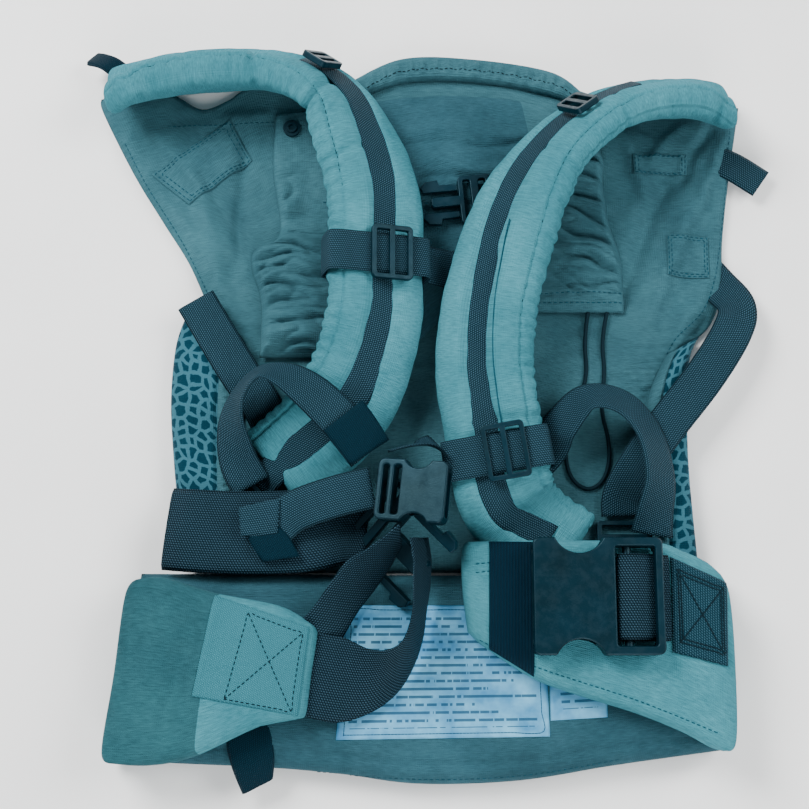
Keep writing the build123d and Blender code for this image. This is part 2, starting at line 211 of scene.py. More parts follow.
def print_material(name):
    """Spotted canvas print: dark rounded spots of uneven size on a lighter ground."""
    s = Shader(name, roughness=0.9, sheen=0.1, specular=0.15)
    across, along = s.uv()
    wobble = s.add("ShaderNodeTexNoise", {"Scale": 160.0, "Detail": 2.0, "Vector": s.place()})
    bent = s.add("ShaderNodeVectorMath", {0: wobble.outputs["Color"], 1: (0.0032, 0.0032, 0.0)},
                 operation="MULTIPLY")
    flat = s.add("ShaderNodeCombineXYZ", {"X": across, "Y": along})
    spot_at = s.add("ShaderNodeVectorMath", {0: flat.outputs[0], 1: bent.outputs[0]},
                    operation="ADD").outputs[0]
    cells = s.add("ShaderNodeTexVoronoi", {"Vector": spot_at, "Scale": 150.0, "Randomness": 0.78},
                  voronoi_dimensions="2D", feature="DISTANCE_TO_EDGE")
    spots = s.ramp(cells.outputs["Distance"], [(0.13, colour(52, 98, 112)), (0.2, colour(6, 38, 52))])
    inner = s.mix(s.maths("MULTIPLY", s.noise(420, 2.0), 0.3, clamp=True), spots, colour(26, 66, 80))
    weave = s.maths("MULTIPLY", s.wave(across, 0.0011), s.wave(along, 0.0011))
    height = s.maths("ADD", weave, s.noise(900, 2.0))
    return s.finish(inner, height, 0.5, 0.0004)


def satin_material(name, width, height, ruled=True):
    """Satin care label: soft sheen, a border and broken rules of plain bars, with no lettering."""
    s = Shader(name, roughness=0.38, specular=0.45)
    across, along = s.uv()
    cloudy = s.noise(60, 3.0)
    base = s.ramp(cloudy, [(0.3, colour(48, 112, 156)), (0.75, colour(112, 182, 216))])
    inside = 1.0
    for coordinate, size in ((across, width), (along, height)):
        off = s.maths("ABSOLUTE", s.maths("SUBTRACT", coordinate, size / 2))
        inside = s.maths("MULTIPLY", s.maths("LESS_THAN", off, size / 2 - 0.006), inside)
    pitch = 0.0046
    row = s.maths("FLOOR", s.maths("DIVIDE", along, pitch))
    bar = s.maths("GREATER_THAN", s.wave(along, pitch), 0.72)
    spot = s.add("ShaderNodeCombineXYZ",
                 {"X": s.maths("MULTIPLY", across, 260.0), "Y": s.maths("MULTIPLY", row, 7.3)})
    gaps = s.noise(1.0, 2.0, 0.5, spot.outputs[0])
    length = s.noise(1.0, 0.0, 0.5,
                     s.add("ShaderNodeCombineXYZ", {"Y": s.maths("MULTIPLY", row, 3.7)}).outputs[0])
    reach = s.maths("LESS_THAN", across, s.maths("MULTIPLY", length, width * 1.7))
    ink = s.maths("MULTIPLY", s.maths("MULTIPLY", bar, s.maths("GREATER_THAN", gaps, 0.43)),
                  s.maths("MULTIPLY", inside, reach))
    if ruled:
        base = s.mix(s.maths("MULTIPLY", ink, 0.8), base, colour(14, 46, 74))
    fibre = s.wave(along, 0.0008)
    height_map = s.maths("ADD", s.maths("MULTIPLY", fibre, 0.4), s.noise(120, 3.0))
    return s.finish(base, height_map, 0.35, 0.0006)


def thread_material(name, shade):
    s = Shader(name, roughness=0.7, specular=0.3)
    base = s.ramp(s.noise(900, 2.0), [(0.3, colour(*(c * 0.7 for c in shade))), (0.7, colour(*shade))])
    return s.finish(base, s.noise(2500, 1.0), 0.4, 0.0002)


CLOTH = canvas_material("teal_canvas_light", (66, 134, 146), (42, 106, 118), 0.3)
CLOTH_MID = canvas_material("teal_canvas_mid", (60, 104, 114), (36, 72, 82), 0.25)
# A darker copy of the canvas: painted shade for cloth that lies in deep shadow, on the hood's middle and
# the belt.
CLOTH_DEEP_SHADE = canvas_material("teal_canvas_painted_deep_shade", (46, 86, 98), (24, 56, 66), 0.25)
# A darker copy of the canvas: painted shade for the left wing's part that slopes away beyond its fold.
CLOTH_FOLD_SHADE = canvas_material("teal_canvas_painted_fold_shade", (44, 92, 100), (28, 68, 76), 0.25)
TWILL = webbing_material("twill_light", (44, 102, 114), (72, 138, 150), 0.0011, 0.0013, 0.1)
WEBBING_PATCH = webbing_material("webbing_patch", (8, 36, 48), (56, 94, 108), 0.0014, 0.0016)
WEBBING = webbing_material("webbing_narrow", (6, 28, 38), (60, 94, 110), 0.0013, 0.0014)
WEBBING_WIDE = webbing_material("webbing_wide", (1, 15, 24), (52, 80, 96), 0.0014, 0.0016)
WEBBING_SMOOTH = webbing_material("webbing_hem", (1, 20, 32), (10, 42, 58), 0.0012, 0.0012)
ELASTIC = webbing_material("elastic_band", (1, 16, 30), (8, 40, 60), 0.0021, 0.0009)
PLASTIC_DARK = plastic_material("dark_plastic", (0, 16, 24))
PRINT = print_material("spotted_print")
SATIN = satin_material("satin_label", 0.124, 0.078)
SATIN_SMALL = satin_material("satin_label_small", 0.034, 0.03)
THREAD = thread_material("thread_teal", (14, 66, 82))
THREAD_DARK = thread_material("thread_dark", (1, 18, 28))
INK = thread_material("label_rule", (22, 52, 78))


# ---------------------------------------------------------------- small geometry tools
def smooth(points, count):
    """Even samples of the smooth curve through a list of points of any width."""
    rows = [tuple(float(c) for c in p) for p in points]
    dense, length = [rows[0]], [0.0]
    for i in range(len(rows) - 1):
        p0, p1, p2, p3 = rows[max(i - 1, 0)], rows[i], rows[i + 1], rows[min(i + 2, len(rows) - 1)]
        for k in range(1, 25):
            t = k / 24
            row = tuple(
                0.5 * (2 * b + (c - a) * t + (2 * a - 5 * b + 4 * c - d) * t * t
                       + (3 * b - a - 3 * c + d) * t ** 3)
                for a, b, c, d in zip(p0, p1, p2, p3))
            size = min(3, len(row))
            length.append(length[-1] + sqrt(sum((row[j] - dense[-1][j]) ** 2 for j in range(size))))
            dense.append(row)
    found, at = [], 0
    for k in range(count):
        want = length[-1] * k / (count - 1)
        while at < len(length) - 2 and length[at + 1] < want:
            at += 1
        span = length[at + 1] - length[at] or 1.0
        share = min(max((want - length[at]) / span, 0.0), 1.0)
        found.append(tuple(a + (b - a) * share for a, b in zip(dense[at], dense[at + 1])))
    return found


def step(low, high, value):
    """0 below low, 1 above high, and smooth between them."""
    t = min(max((value - low) / (high - low), 0.0), 1.0)
    return t * t * (3 - 2 * t)


def bell(offset, width):
    """1 where offset is 0, falling away to nothing a few widths from it."""
    return 2.718 ** (-(offset / width) ** 2)


def ripple(x, y, z=0.0, size=30.0, seed=0.0):
    """Smooth noise from -1 to 1, with that size of feature in millimetres."""
    return noise.noise(Vector((x / size + seed, y / size - seed, z / size)))


def add_object(name, verts, faces, materials, uvs=None, slots=None, shade=True):
    mesh = bpy.data.meshes.new(name)
    mesh.from_pydata([Vector(v) * MM for v in verts], [], faces)
    for material in materials:
        mesh.materials.append(material)
    if uvs:
        layer = mesh.uv_layers.new(name="UVMap")
        for loop in mesh.loops:
            u, v = uvs[loop.vertex_index]
            layer.data[loop.index].uv = (u * MM, v * MM)
    for i, polygon in enumerate(mesh.polygons):
        polygon.use_smooth = shade
        if slots:
            polygon.material_index = slots[i]
    obj = bpy.data.objects.new(name, mesh)
    bpy.context.collection.objects.link(obj)
    return obj


def outward(obj):
    """Turns a closed mesh's faces outward."""
    work = bmesh.new()
    work.from_mesh(obj.data)
    bmesh.ops.recalc_face_normals(work, faces=work.faces)
    work.to_mesh(obj.data)
    work.free()
    return obj


def surface_of(*objects):
    """A ray caster over finished meshes, in millimetres."""
    verts, faces = [], []
    for obj in objects:
        start = len(verts)
        verts += [v.co / MM for v in obj.data.vertices]
        faces += [[start + i for i in p.vertices] for p in obj.data.polygons]
    return BVHTree.FromPolygons(verts, faces)


def drop(tree, x, y, default):
    """The highest point of a surface above (x, y), and its normal."""
    hit, normal, _, _ = tree.ray_cast(Vector((x, y, 200)), Vector((0, 0, -1)))
    if hit is None:
        return default, Vector((0, 0, 1))
    return hit.z, normal if normal.z > 0 else -normal


# ---------------------------------------------------------------- padded patches
def edge_curve(points, count):
    return [Vector(p) for p in smooth(points, count)]


def coons(bottom, right, top, left, across, along):
    """A grid of (x, y) between four edge curves; bottom and top run one way, left and right the other."""
    b, t = edge_curve(bottom, across + 1), edge_curve(top, across + 1)
    l, r = edge_curve(left, along + 1), edge_curve(right, along + 1)
    grid = []
    for j in range(along + 1):
        v, row = j / along, []
        for i in range(across + 1):
            u = i / across
            ruled = b[i] * (1 - v) + t[i] * v + l[j] * (1 - u) + r[j] * u
            corner = (b[0] * (1 - u) + b[-1] * u) * (1 - v) + (t[0] * (1 - u) + t[-1] * u) * v
            row.append(ruled - corner)
        grid.append(row)
    return grid


def pad(name, sides, low, high, cells, materials, edge=8.0, power=2.4, shape=None, slot_at=None,
        flat_base=False):
    """A closed padded piece over a patch: full in the middle, rounded at its rim.

    shape(x, y, u, v) gives millimetres to add to the upper face, and slot_at(u, v) a material.
    """
    grid = coons(*sides, *cells)
    rows, columns = len(grid), len(grid[0])
    width = sum((grid[rows // 2][i + 1] - grid[rows // 2][i]).length for i in range(columns - 1))
    height = sum((grid[j + 1][columns // 2] - grid[j][columns // 2]).length for j in range(rows - 1))
    middle = (low + high) / 2
    verts, uvs, faces, slots, index = [], [], [], [], {}
    for face in (0, 1):
        for j in range(rows):
            for i in range(columns):
                rim = i in (0, columns - 1) or j in (0, rows - 1)
                if rim and face == 1:
                    index[face, j, i] = index[0, j, i]
                    continue
                u, v = i / (columns - 1), j / (rows - 1)
                inset = min(min(u, 1 - u) * width, min(v, 1 - v) * height)
                full = 1 - max(0.0, 1 - inset / edge) ** power if edge else 1.0
                full = full ** (1 / power)
                x, y = grid[j][i]
                lift = shape(x, y, u, v) * step(0, edge or 1, inset) if shape and face == 0 else 0.0
                reach = (high - middle) * full
                z = middle + reach + lift if face == 0 else (low if flat_base else middle - reach)
                if flat_base and face == 1:
                    z = low + (middle - low) * (1 - full) * 0.6
                index[face, j, i] = len(verts)
                verts.append((x, y, z))
                uvs.append((u * width, v * height))
    for face in (0, 1):
        for j in range(rows - 1):
            for i in range(columns - 1):
                ring = [index[face, j, i], index[face, j, i + 1], index[face, j + 1, i + 1],
                        index[face, j + 1, i]]
                faces.append(ring if face == 0 else ring[::-1])
                slots.append(slot_at((i + 0.5) / (columns - 1), (j + 0.5) / (rows - 1)) if slot_at else 0)
    return add_object(name, verts, faces, materials, uvs, slots)


def puff(obj, cap, pressure=3.0, frames=14):
    """Swells a closed piece as cloth under pressure; no point moves further than cap millimetres."""
    start = [v.co.copy() for v in obj.data.vertices]
    scene = bpy.context.scene
    cloth = obj.modifiers.new("cloth", "CLOTH")
    cloth.settings.use_pressure = True
    cloth.settings.uniform_pressure_force = pressure
    cloth.settings.tension_stiffness = 25
    cloth.settings.compression_stiffness = 8
    cloth.settings.bending_stiffness = 0.6
    cloth.settings.mass = 0.25
    cloth.settings.effector_weights.gravity = 0
    cloth.collision_settings.use_collision = False
    cloth.point_cache.frame_start, cloth.point_cache.frame_end = 1, frames
    for number in range(1, frames + 1):
        scene.frame_set(number)
    evaluated = obj.evaluated_get(bpy.context.evaluated_depsgraph_get())
    moved = [v.co.copy() for v in evaluated.data.vertices]
    obj.modifiers.clear()
    scene.frame_set(1)
    for vertex, was, now in zip(obj.data.vertices, start, moved):
        shift = now - was
        if shift.length > cap * MM:
            shift *= cap * MM / shift.length
        vertex.co = was + shift
        vertex.co.z = max(vertex.co.z, 0.0002)
    obj.data.update()
    return obj


# ---------------------------------------------------------------- webbing
def frame_at(samples, i, lean):
    """The centre, side and outward directions of a band at one sample."""
    before, after = Vector(samples[max(i - 1, 0)][:3]), Vector(samples[min(i + 1, len(samples) - 1)][:3])
    along = (after - before).normalized()
    across = Vector((0, 0, 1)).cross(along)
    across = across.normalized() if across.length > 1e-4 else Vector((1, 0, 0))
    side = across * cos(radians(lean)) + along.cross(across) * sin(radians(lean))
    return Vector(samples[i][:3]), side, along.cross(side).normalized(), along


def band(name, route, width, material, thick=1.6, pitch=2.5, cells=10, crown=0.0):
    """Flat webbing along a route of (x, y, z, lean): rounded selvedges and a slight hollow."""
    rough = smooth(route, 60)
    length = sum((Vector(b[:3]) - Vector(a[:3])).length for a, b in zip(rough, rough[1:]))
    count = max(8, int(length / pitch))
    samples = smooth(route, count)
    verts, uvs, faces = [], [], []
    profile = []
    for k in range(cells + 1):
        a = -1 + 2 * k / cells
        profile.append((a, (1 - abs(a) ** 8) ** 0.5))
    ring = [(a, f, 1) for a, f in profile] + [(a, f, -1) for a, f in profile[::-1][1:-1]]
    run = 0.0
    for i in range(count):
        centre, side, out, along = frame_at(samples, i, samples[i][3])
        if i:
            run += (centre - Vector(samples[i - 1][:3])).length
        for a, f, sign in ring:
            bend = crown * (1 - a * a)
            verts.append(centre + side * (a * width / 2) + out * (sign * f * thick / 2 + bend))
            uvs.append((a * width / 2, run))
    around = len(ring)
    for i in range(count - 1):
        for k in range(around):
            n = (k + 1) % around
            faces.append([i * around + k, i * around + n, (i + 1) * around + n, (i + 1) * around + k])
    faces.append(list(range(around))[::-1])
    faces.append([(count - 1) * around + k for k in range(around)])
    obj = outward(add_object(name, verts, faces, [material], uvs))
    return obj


def dashes(name, points, material, pitch=3.4, length=2.3, radius=0.28, lift=0.1):
    """A row of stitches along points of (x, y, z, nx, ny, nz), each a small rounded bead of thread."""
    verts, faces = [], []
    dense = smooth(points, max(2, int(sum((Vector(b[:3]) - Vector(a[:3])).length
                                          for a, b in zip(points, points[1:])) / (pitch / 4))))
    run, following = 0.0, 0.0
    for i in range(1, len(dense)):
        here, last = Vector(dense[i][:3]), Vector(dense[i - 1][:3])
        run += (here - last).length
        if run < following:
            continue
        following = run + pitch
        along = (here - last).normalized()
        normal = Vector(dense[i][3:6]).normalized()
        side = along.cross(normal).normalized()
        start = len(verts)
        for t, swell in ((-0.5, 0.35), (-0.3, 1.0), (0.3, 1.0), (0.5, 0.35)):
            for k in range(6):
                angle = k * pi / 3
                verts.append(here + along * (t * length) + normal * (lift + radius * swell * sin(angle))
                             + side * (radius * 1.15 * swell * cos(angle)))
        for ring in range(3):
            for k in range(6):
                a, b = start + ring * 6 + k, start + ring * 6 + (k + 1) % 6
                faces.append([a, b, b + 6, a + 6])
        faces.append([start + k for k in range(6)][::-1])
        faces.append([start + 18 + k for k in range(6)])
    return add_object(name, verts, faces, [material])


def stitch_line(tree, points, default=0.0):
    """Route points for dashes, dropped on to a surface from above."""
    dense = smooth(points, max(2,
                               int(sum((Vector(b) - Vector(a)).length for a,
                                       b in zip(points, points[1:])) / 2)))
    found = []
    for x, y in dense:
        z, normal = drop(tree, x, y, default)
        found.append((x, y, z, *normal))
    return found


def joined(name, objects):
    """Several meshes as one."""
    verts, faces, uvs, slots, materials = [], [], [], [], []
    for obj in objects:
        start = len(verts)
        verts += [v.co / MM for v in obj.data.vertices]
        table = []
        for material in obj.data.materials:
            if material not in materials:
                materials.append(material)
            table.append(materials.index(material))
        for polygon in obj.data.polygons:
            faces.append([start + i for i in polygon.vertices])
            slots.append(table[polygon.material_index])
        layer = obj.data.uv_layers[0].data if obj.data.uv_layers else None
        spot = {}
        for loop in obj.data.loops:
            spot[loop.vertex_index] = tuple(c / MM for c in layer[loop.index].uv) if layer else (0, 0)
        uvs += [spot.get(i, (0, 0)) for i in range(len(obj.data.vertices))]
        bpy.data.objects.remove(obj)
    return add_object(name, verts, faces, materials, uvs, slots)


# ---------------------------------------------------------------- shoulder straps
class Strap:
    """A padded strap sewn from a face, a back and a puckered side wall.

    Its route is a list of (x, y, z, lean, width, thickness, valley, valley offset).
    """

    AROUND = 104

    def __init__(self, name, route, materials, seam_side=-1, creases=(), count=270):
        self.samples = smooth(route, count)
        self.creases = creases
        self.seam_side = seam_side
        self.runs = [0.0]
        for a, b in zip(self.samples, self.samples[1:]):
            self.runs.append(self.runs[-1] + (Vector(b[:3]) - Vector(a[:3])).length)
        self.total = self.runs[-1]
        verts, uvs, faces = [], [], []
        n = self.AROUND
        for i in range(count):
            for k in range(n):
                verts.append(self.point(i, k / n * 2 * pi))
                uvs.append((k / n * 150, self.runs[i]))
        for i in range(count - 1):
            for k in range(n):
                m = (k + 1) % n
                faces.append([i * n + k, i * n + m, (i + 1) * n + m, (i + 1) * n + k])
        for end in (0, count - 1):
            ring = [end * n + k for k in range(n)]
            verts.append(sum((Vector(verts[i]) for i in ring), Vector()) / n)
            uvs.append((30, self.runs[end]))
            faces += [[ring[(k + 1) % n], ring[k], len(verts) - 1] for k in range(n)]
        self.object = outward(add_object(name, verts, faces, materials, uvs))

    def seam_turn(self):
        return radians(47) if self.seam_side > 0 else radians(133)

    def dip(self, i, across):
        """How far the valley under the webbing sinks into the face."""
        valley, offset = self.samples[i][6:8]
        return valley * 2.718 ** (-((across - offset) / 8.5) ** 4)

    def point(self, i, angle):
        x, y, z, lean, width, thick = self.samples[i][:6]
        run, left = self.runs[i], self.total - self.runs[i]
        close = min(1.0, (1 - max(0.0, 1 - min(run, left) / 9) ** 2.6) ** 0.5 + 0.02)
        centre, side, out, along = frame_at(self.samples, i, lean)
        c, s = cos(angle), sin(angle)
        power = 2 / 3.2
        a = abs(c) ** power * (1 if c >= 0 else -1)
        b = abs(s) ** power * (1 if s >= 0 else -1)
        across, up = a * width / 2 * (0.9 + 0.1 * close), b * thick / 2 * close
        if b > 0:
            up -= self.dip(i, across) * b
            up += 1.3 * sin(pi * min(1, abs(a))) * close
        turn = angle - self.seam_turn() if self.seam_side > 0 else self.seam_turn() - angle
        turn = (turn + pi) % (2 * pi) - pi
        beat = run + 3.0 * ripple(run, 0, 0, 19, 5 + self.seam_side)
        tuck = abs(sin(beat * pi / 8.6)) ** 0.7 - 0.62
        wall = step(0.02, -0.12, turn) * step(-1.7, -0.75, turn) * close
        face = step(-0.02, 0.06, turn) * (1 - step(0.1, 0.42, turn)) * close
        swell = wall * (1.5 * tuck + 0.9 * ripple(run, turn * 9, 0, 6, 9)) + face * 0.8 * tuck
        swell -= 1.7 * bell(turn, 0.055) * close
        for share, depth, width in self.creases:
            pinch = bell(run - share * self.total + 5 * sin(turn), width)
            swell -= depth * pinch * step(-2.0, -1.2, turn) * (1 - step(0.5, 1.3, turn)) * close
        loose = 0.6 * ripple(x + across, y, z + up, 19, 3) + 0.35 * ripple(x + across, y, z + up, 8, 8)
        bulge = swell + loose
        return centre + side * (across + a * bulge) + out * (up + b * bulge)

    def on_face(self, start, end, lift, shift=0.0):
        """Route points of (x, y, z, lean) along the valley, lifted from the face."""
        found = []
        for i in range(0, len(self.samples), 3):
            if start <= self.runs[i] / self.total <= end:
                row = self.samples[i]
                centre, side, out, _ = frame_at(self.samples, i, row[3])
                across = row[7] + shift
                up = row[5] / 2 - self.dip(i,
                                           across) + 1.2 * sin(pi * min(1, abs(across) / row[4] * 2)) + lift
                found.append((*(centre + side * across + out * up), row[3]))
        return found

    def seam(self, start, end):
        """Points of (x, y, z, nx, ny, nz) down the sewn corner."""
        found = []
        for i in range(len(self.samples)):
            if start <= self.runs[i] / self.total <= end:
                _, side, out, _ = frame_at(self.samples, i, self.samples[i][3])
                normal = out + side * self.seam_side * 0.8
                found.append((*self.point(i, self.seam_turn()), *normal))
        return found


def with_valley(route, depths, offsets):
    """Adds to each route point its valley's depth and offset."""
    return [(*row, depth, offset) for row, depth, offset in zip(route, depths, offsets)]


STRAP_LEFT = [
    (-198, 208, 22, -38, 44, 17), (-183, 213, 27, -54, 50, 21), (-150, 219, 29, -62, 54, 24),
    (-112, 221, 31, -62, 55, 24), (-88, 217, 36, -58, 55, 22), (-66, 208, 41, -51, 56, 20),
    (-50, 193, 43, -44, 58, 18), (-40, 172, 43, -34, 60, 18), (-31, 148, 40.5, -24, 60, 18),
    (-26, 124, 38, -18, 60, 18), (-26, 92, 38, -18, 60, 17.6), (-26, 60, 38, -18, 60, 18),
    (-32, 31, 34, -13, 60, 18), (-42, 8, 30, -8, 61, 17), (-57, -12, 24, -4, 61, 15),
    (-88, -38, 16.5, 0, 60, 13),
]
STRAP_RIGHT = [
    (200, 197, 24, 40, 44, 17), (177, 200, 32, 56, 50, 21), (150, 198, 36, 58, 54, 21.5),
    (126, 191, 40, 54, 55, 19), (106, 179, 43, 48, 55, 18.5), (86, 161, 44, 43, 56, 18),
    (70, 138, 43, 33, 58, 18), (59, 114, 41.5, 25, 60, 18), (51, 90, 39.5, 20, 60, 18),
    (44, 62, 37, 17, 60, 18), (41, 32, 32, 12, 60, 18), (42, 10, 29.8, 8, 60, 18),
    (47, -20, 28.3, 8, 60, 17.6), (52, -50, 26.8, 8, 60, 17), (61, -64, 18, 4, 58, 13),
    (75, -75, 13.8, 0, 57, 12.5), (94, -88, 13.4, 0, 56, 12),
]
strap_left = Strap("strap_left_padding", with_valley(
    STRAP_LEFT, [0.5, 0.5, 0.5, 1, 2, 3, 3.5, 3.5, 3.5, 3.5, 3, 3, 2.5, 1.5, 1, 0.6],
    [0, 0, 0, 2, 4, 7, 8, 7, 6, 4, 2, 2, 2, 3, 0, 0]), [CLOTH], -1,
    [(0.045, 2.4, 3), (0.245, 3.6, 3.2), (0.365, 3.2, 3), (0.13, 1.6, 2.2), (0.47, 1.3, 2.5)])
strap_right = Strap("strap_right_padding", with_valley(
    STRAP_RIGHT, [0.5, 1, 2, 4, 5, 6, 6.5, 6.5, 6.5, 6.5, 6, 5, 3, 3, 2, 1, 0.6],
    [-4, -6, -8, -9, -9, -10, -10, -9, -7, -5, -4, -4, -5, -6, -3, 0, 0]), [CLOTH], 1,
    [(0.03, 2.2, 3), (0.2, 1.8, 2.6), (0.33, 1.6, 2.6), (0.76, 1.2, 3)])

# ---------------------------------------------------------------- back panel
PANEL_LEFT = [(-109, -98), (-109, -40), (-109, 20), (-110, 46), (-128, 62), (-146, 99), (-163, 126),
              (-184, 160), (-206, 203), (-208, 213)]
PANEL_RIGHT = [(143, -98), (147, -40), (149, 10), (163, 38), (185, 57), (194, 80), (197, 116), (203, 157),
               (212, 207)]
PANEL_TOP = [(-208, 213), (-190, 219), (-170, 222), (-156, 214), (-141, 206), (-125, 212), (-109, 222),
             (-77, 224), (-45, 226), (-11, 236), (35, 236), (81, 229), (114, 217), (147, 209), (212, 207)]
PANEL_BOTTOM = [(-109, -98), (-20, -98), (60, -98), (143, -98)]


def crease(x, y, a, b, width, depth):
    """A fold along a line from a to b, fading at its ends."""
    run = Vector((b[0] - a[0], b[1] - a[1]))
    here = Vector((x - a[0], y - a[1]))
    t = here.dot(run) / run.length_squared
    off = (here.x * run.y - here.y * run.x) / run.length + 3.5 * ripple(x, y, 0, 24, 9)
    fade = step(-0.05, 0.2, t) * (1 - step(0.8, 1.05, t))
    return depth * bell(off, width) * fade


def ridged(x, y, size, seed):
    """Noise with narrow valleys and rounded ridges."""
    return 2 * min(1.0, 1.8 * abs(ripple(x, y, 0, size, seed))) ** 0.6 - 1


PANEL_CREASES = [
    ((-196, 186), (-120, 84), 5, 2.6), ((-150, 190), (-118, 60), 6, 2.2),
    ((-178, 196), (-140, 150), 4, 2.0),
    ((-112, 190), (-116, 90), 4, -2.4), ((-128, 196), (-96, 202), 4, 2.0), ((170, 170), (128, 72), 7, -3.4),
    ((182, 150), (146, 58), 6, 3.0), ((196, 110), (150, 20), 5, 2.6), ((188, 70), (148, -30), 4, -2.6),
    ((205, 196), (180, 130), 3.2, 3.2), ((196, 198), (168, 150), 3, -3.0), ((208, 180), (190, 120), 3, 2.4),
    ((178, 196), (150, 168), 3, 2.6), ((150, 30), (146, -60), 4, 2.6), ((132, 196), (150, 140), 4, 2.4),
]


def panel_folds(x, y, u, v):
    lie = 1.1 * ripple(x, y, 0, 55, 1) + 0.8 * ripple(x, y * 2.2, 0, 26, 2) + 0.4 * ripple(x, y, 0, 10, 4)
    lie += 1.5 * sum(crease(x, y, *one) for one in PANEL_CREASES)
    outer = max(step(-100, -125, x), step(118, 135, x))
    turn = 0.45 if x < 0 else -0.4
    lie += outer * 1.1 * ridged(x + turn * y, (y - turn * x) * 0.3, 34, 13)
    lie += outer * 0.5 * ridged(x * 0.5 - turn * y, y + turn * x * 0.3, 19, 17)
    lie += 1.5 * step(150, 185, x) * step(120, 175, y) * ridged(x * 0.6 + y * 0.5, y * 0.3 - x * 0.7, 11, 6)
    lie += 1.0 * step(60, 20, abs(y - 46)) * ripple(x * 0.4, y * 1.6, 0, 10, 7)
    seam = abs(y - 26)
    lie -= 1.5 * bell(seam, 1.6) * step(-70, -50, x) * (1 - step(20, 40, x))
    edge = step(124, 136, x) * (1 - step(20, 60, y))
    lie += edge * 1.7 * sin((y + 1.5 * ripple(x, y, 0, 9, 3)) * 2 * pi / 4.4)
    return lie


back_panel = pad("back_panel", (PANEL_BOTTOM, PANEL_RIGHT, PANEL_TOP, PANEL_LEFT), 0.3, 7, (150, 150),
                 [CLOTH_MID], edge=5, shape=panel_folds)


def roll_puckers(x, y, u, v):
    beat = u * 118 + 3 * ripple(u * 118, 0, 0, 9, 3)
    return 1.3 * sin(beat * 2 * pi / 6.2) * (0.5 + 0.5 * sin(v * pi)) + 0.8 * ripple(x, y, 0, 5, 5)


neck_roll = pad("neck_edge_roll",
                ([(-44, 208), (-8, 222), (35, 223), (84, 214), (108, 204)], [(108, 204), (110, 212)],
                 [(-48, 219), (-11, 238), (36, 238), (88, 229), (110, 212)], [(-44, 208), (-48, 219)]),
                4, 15.4, (130, 18), [CLOTH_MID], edge=7, shape=roll_puckers)

# ---------------------------------------------------------------- hood
HOOD_BOTTOM = [(-99, 36), (-70, 36), (-20, 38), (0, 46), (20, 62), (60, 65), (131, 65)]
HOOD_RIGHT = [(131, 65), (130, 99), (123, 125), (120, 151), (121, 168), (113, 188)]
HOOD_TOP = [(-92, 199), (-60, 203), (-8, 211), (35, 212), (78, 206), (113, 188)]
HOOD_LEFT = [(-99, 36), (-99, 72), (-105, 93), (-104, 106), (-88, 118), (-93, 161), (-92, 199)]


def hood_folds(x, y, u, v):
    low_left = (1 - step(-74, -44, x)) * (1 - step(106, 128, y))
    warp = 6 * ripple(x, y, 0, 26, 3) + 0.10 * (x + 80) ** 2 / 12
    beat = y + warp
    gather = low_left * (4.2 * ridged(x * 0.22, beat, 15, 4) + 1.8 * ridged(x * 0.3, beat, 8, 7) + 7)
    upper_left = (1 - step(-84, -70, x)) * step(118, 132, y) * (1 - step(160, 170, y))
    gather += upper_left * (2.6 * ridged(x * 0.5, y, 14, 11) + 2)
    right = step(76, 100, x)
    slant = y + 0.35 * (x - 110) + 5 * ripple(x, y, 0, 20, 8)
    gather += right * (3.8 * ridged(x * 0.25, slant, 14, 9) + 1.6 * ridged(x * 0.3, slant, 7.5, 12)
                       + 5) * step(66, 84, y)
    loose = 1.0 * ripple(x, y, 0, 40, 5) + 0.7 * ripple(x * 0.5, y, 0, 14, 6) + 0.3 * ripple(x, y, 0, 6, 2)
    waves = 2.4 * bell(y - 163 - 4 * sin(x / 9), 4.2) - 2.2 * bell(y - 154 - 3 * sin(x / 11), 2.6)
    waves += 1.8 * bell(y - 186 - 3 * sin(x / 13), 4) - 1.6 * bell(y - 178 - 2 * sin(x / 10), 2.4)
    line = -1.8 * bell(y - 138, 1.7)
    hem = -1.2 * bell(y - 76, 1.3) * step(20, 40, x)
    middle = step(-60, -30, x) * (1 - step(60, 90, x))
    return gather + loose + (waves + line) * middle + hem


# The hood's middle, between the straps, takes the darker canvas as painted shade; its sides take the mid
# canvas.
hood = pad("hood_cloth", (HOOD_BOTTOM, HOOD_RIGHT, HOOD_TOP, HOOD_LEFT), 7.6, 13.2, (180, 230),
           [CLOTH_DEEP_SHADE, CLOTH_MID],
           edge=6, shape=hood_folds, slot_at=lambda u, v: 0 if 0.21 < u < 0.76 else 1)

# ---------------------------------------------------------------- leg opening pads
LEG_L = ([(-142, -96), (-109.6, -96)], [(-109.6, -96), (-109.6, -30), (-110, 20), (-110.5, 45)],
         [(-146, 64), (-128, 59), (-110.5, 45)],
         [(-142, -96), (-147, -60), (-151, -29), (-154, 9), (-152, 44), (-146, 64)])
LEG_R = ([(143.8, -96), (171, -96)], [(171, -96), (168, -42), (168, -4), (171, 34), (178, 50)],
         [(156.6, 38), (178, 50)], [(143.8, -96), (143.8, -30), (144, 9), (156.6, 38)])


def leg_folds(inner_high):
    def folds(x, y, u, v):
        w = u if inner_high else 1 - u
        groove = -2.2 * bell(w - 0.66, 0.035)
        ribs = step(0.7, 0.8, w) * (0.8 * sin((y + 1.5 * ripple(x, y, 0, 12, 2)) * 2 * pi / 4.6)
                                    + 0.5 * ripple(x, y, 0, 4, 3))
        return groove + ribs + 0.7 * ripple(x, y, 0, 18, 5)
    return folds


leg_left = pad("leg_pad_left", LEG_L, 0.4, 17.6, (44, 130), [PRINT, CLOTH_MID], edge=12, power=2.2,
               shape=leg_folds(True), slot_at=lambda u, v: 0 if u < 0.66 else 1)
leg_right = pad("leg_pad_right", LEG_R, 0.4, 17.6, (38, 130), [PRINT, CLOTH_MID], edge=10, power=2.2,
                shape=leg_folds(False), slot_at=lambda u, v: 0 if u > 0.34 else 1)

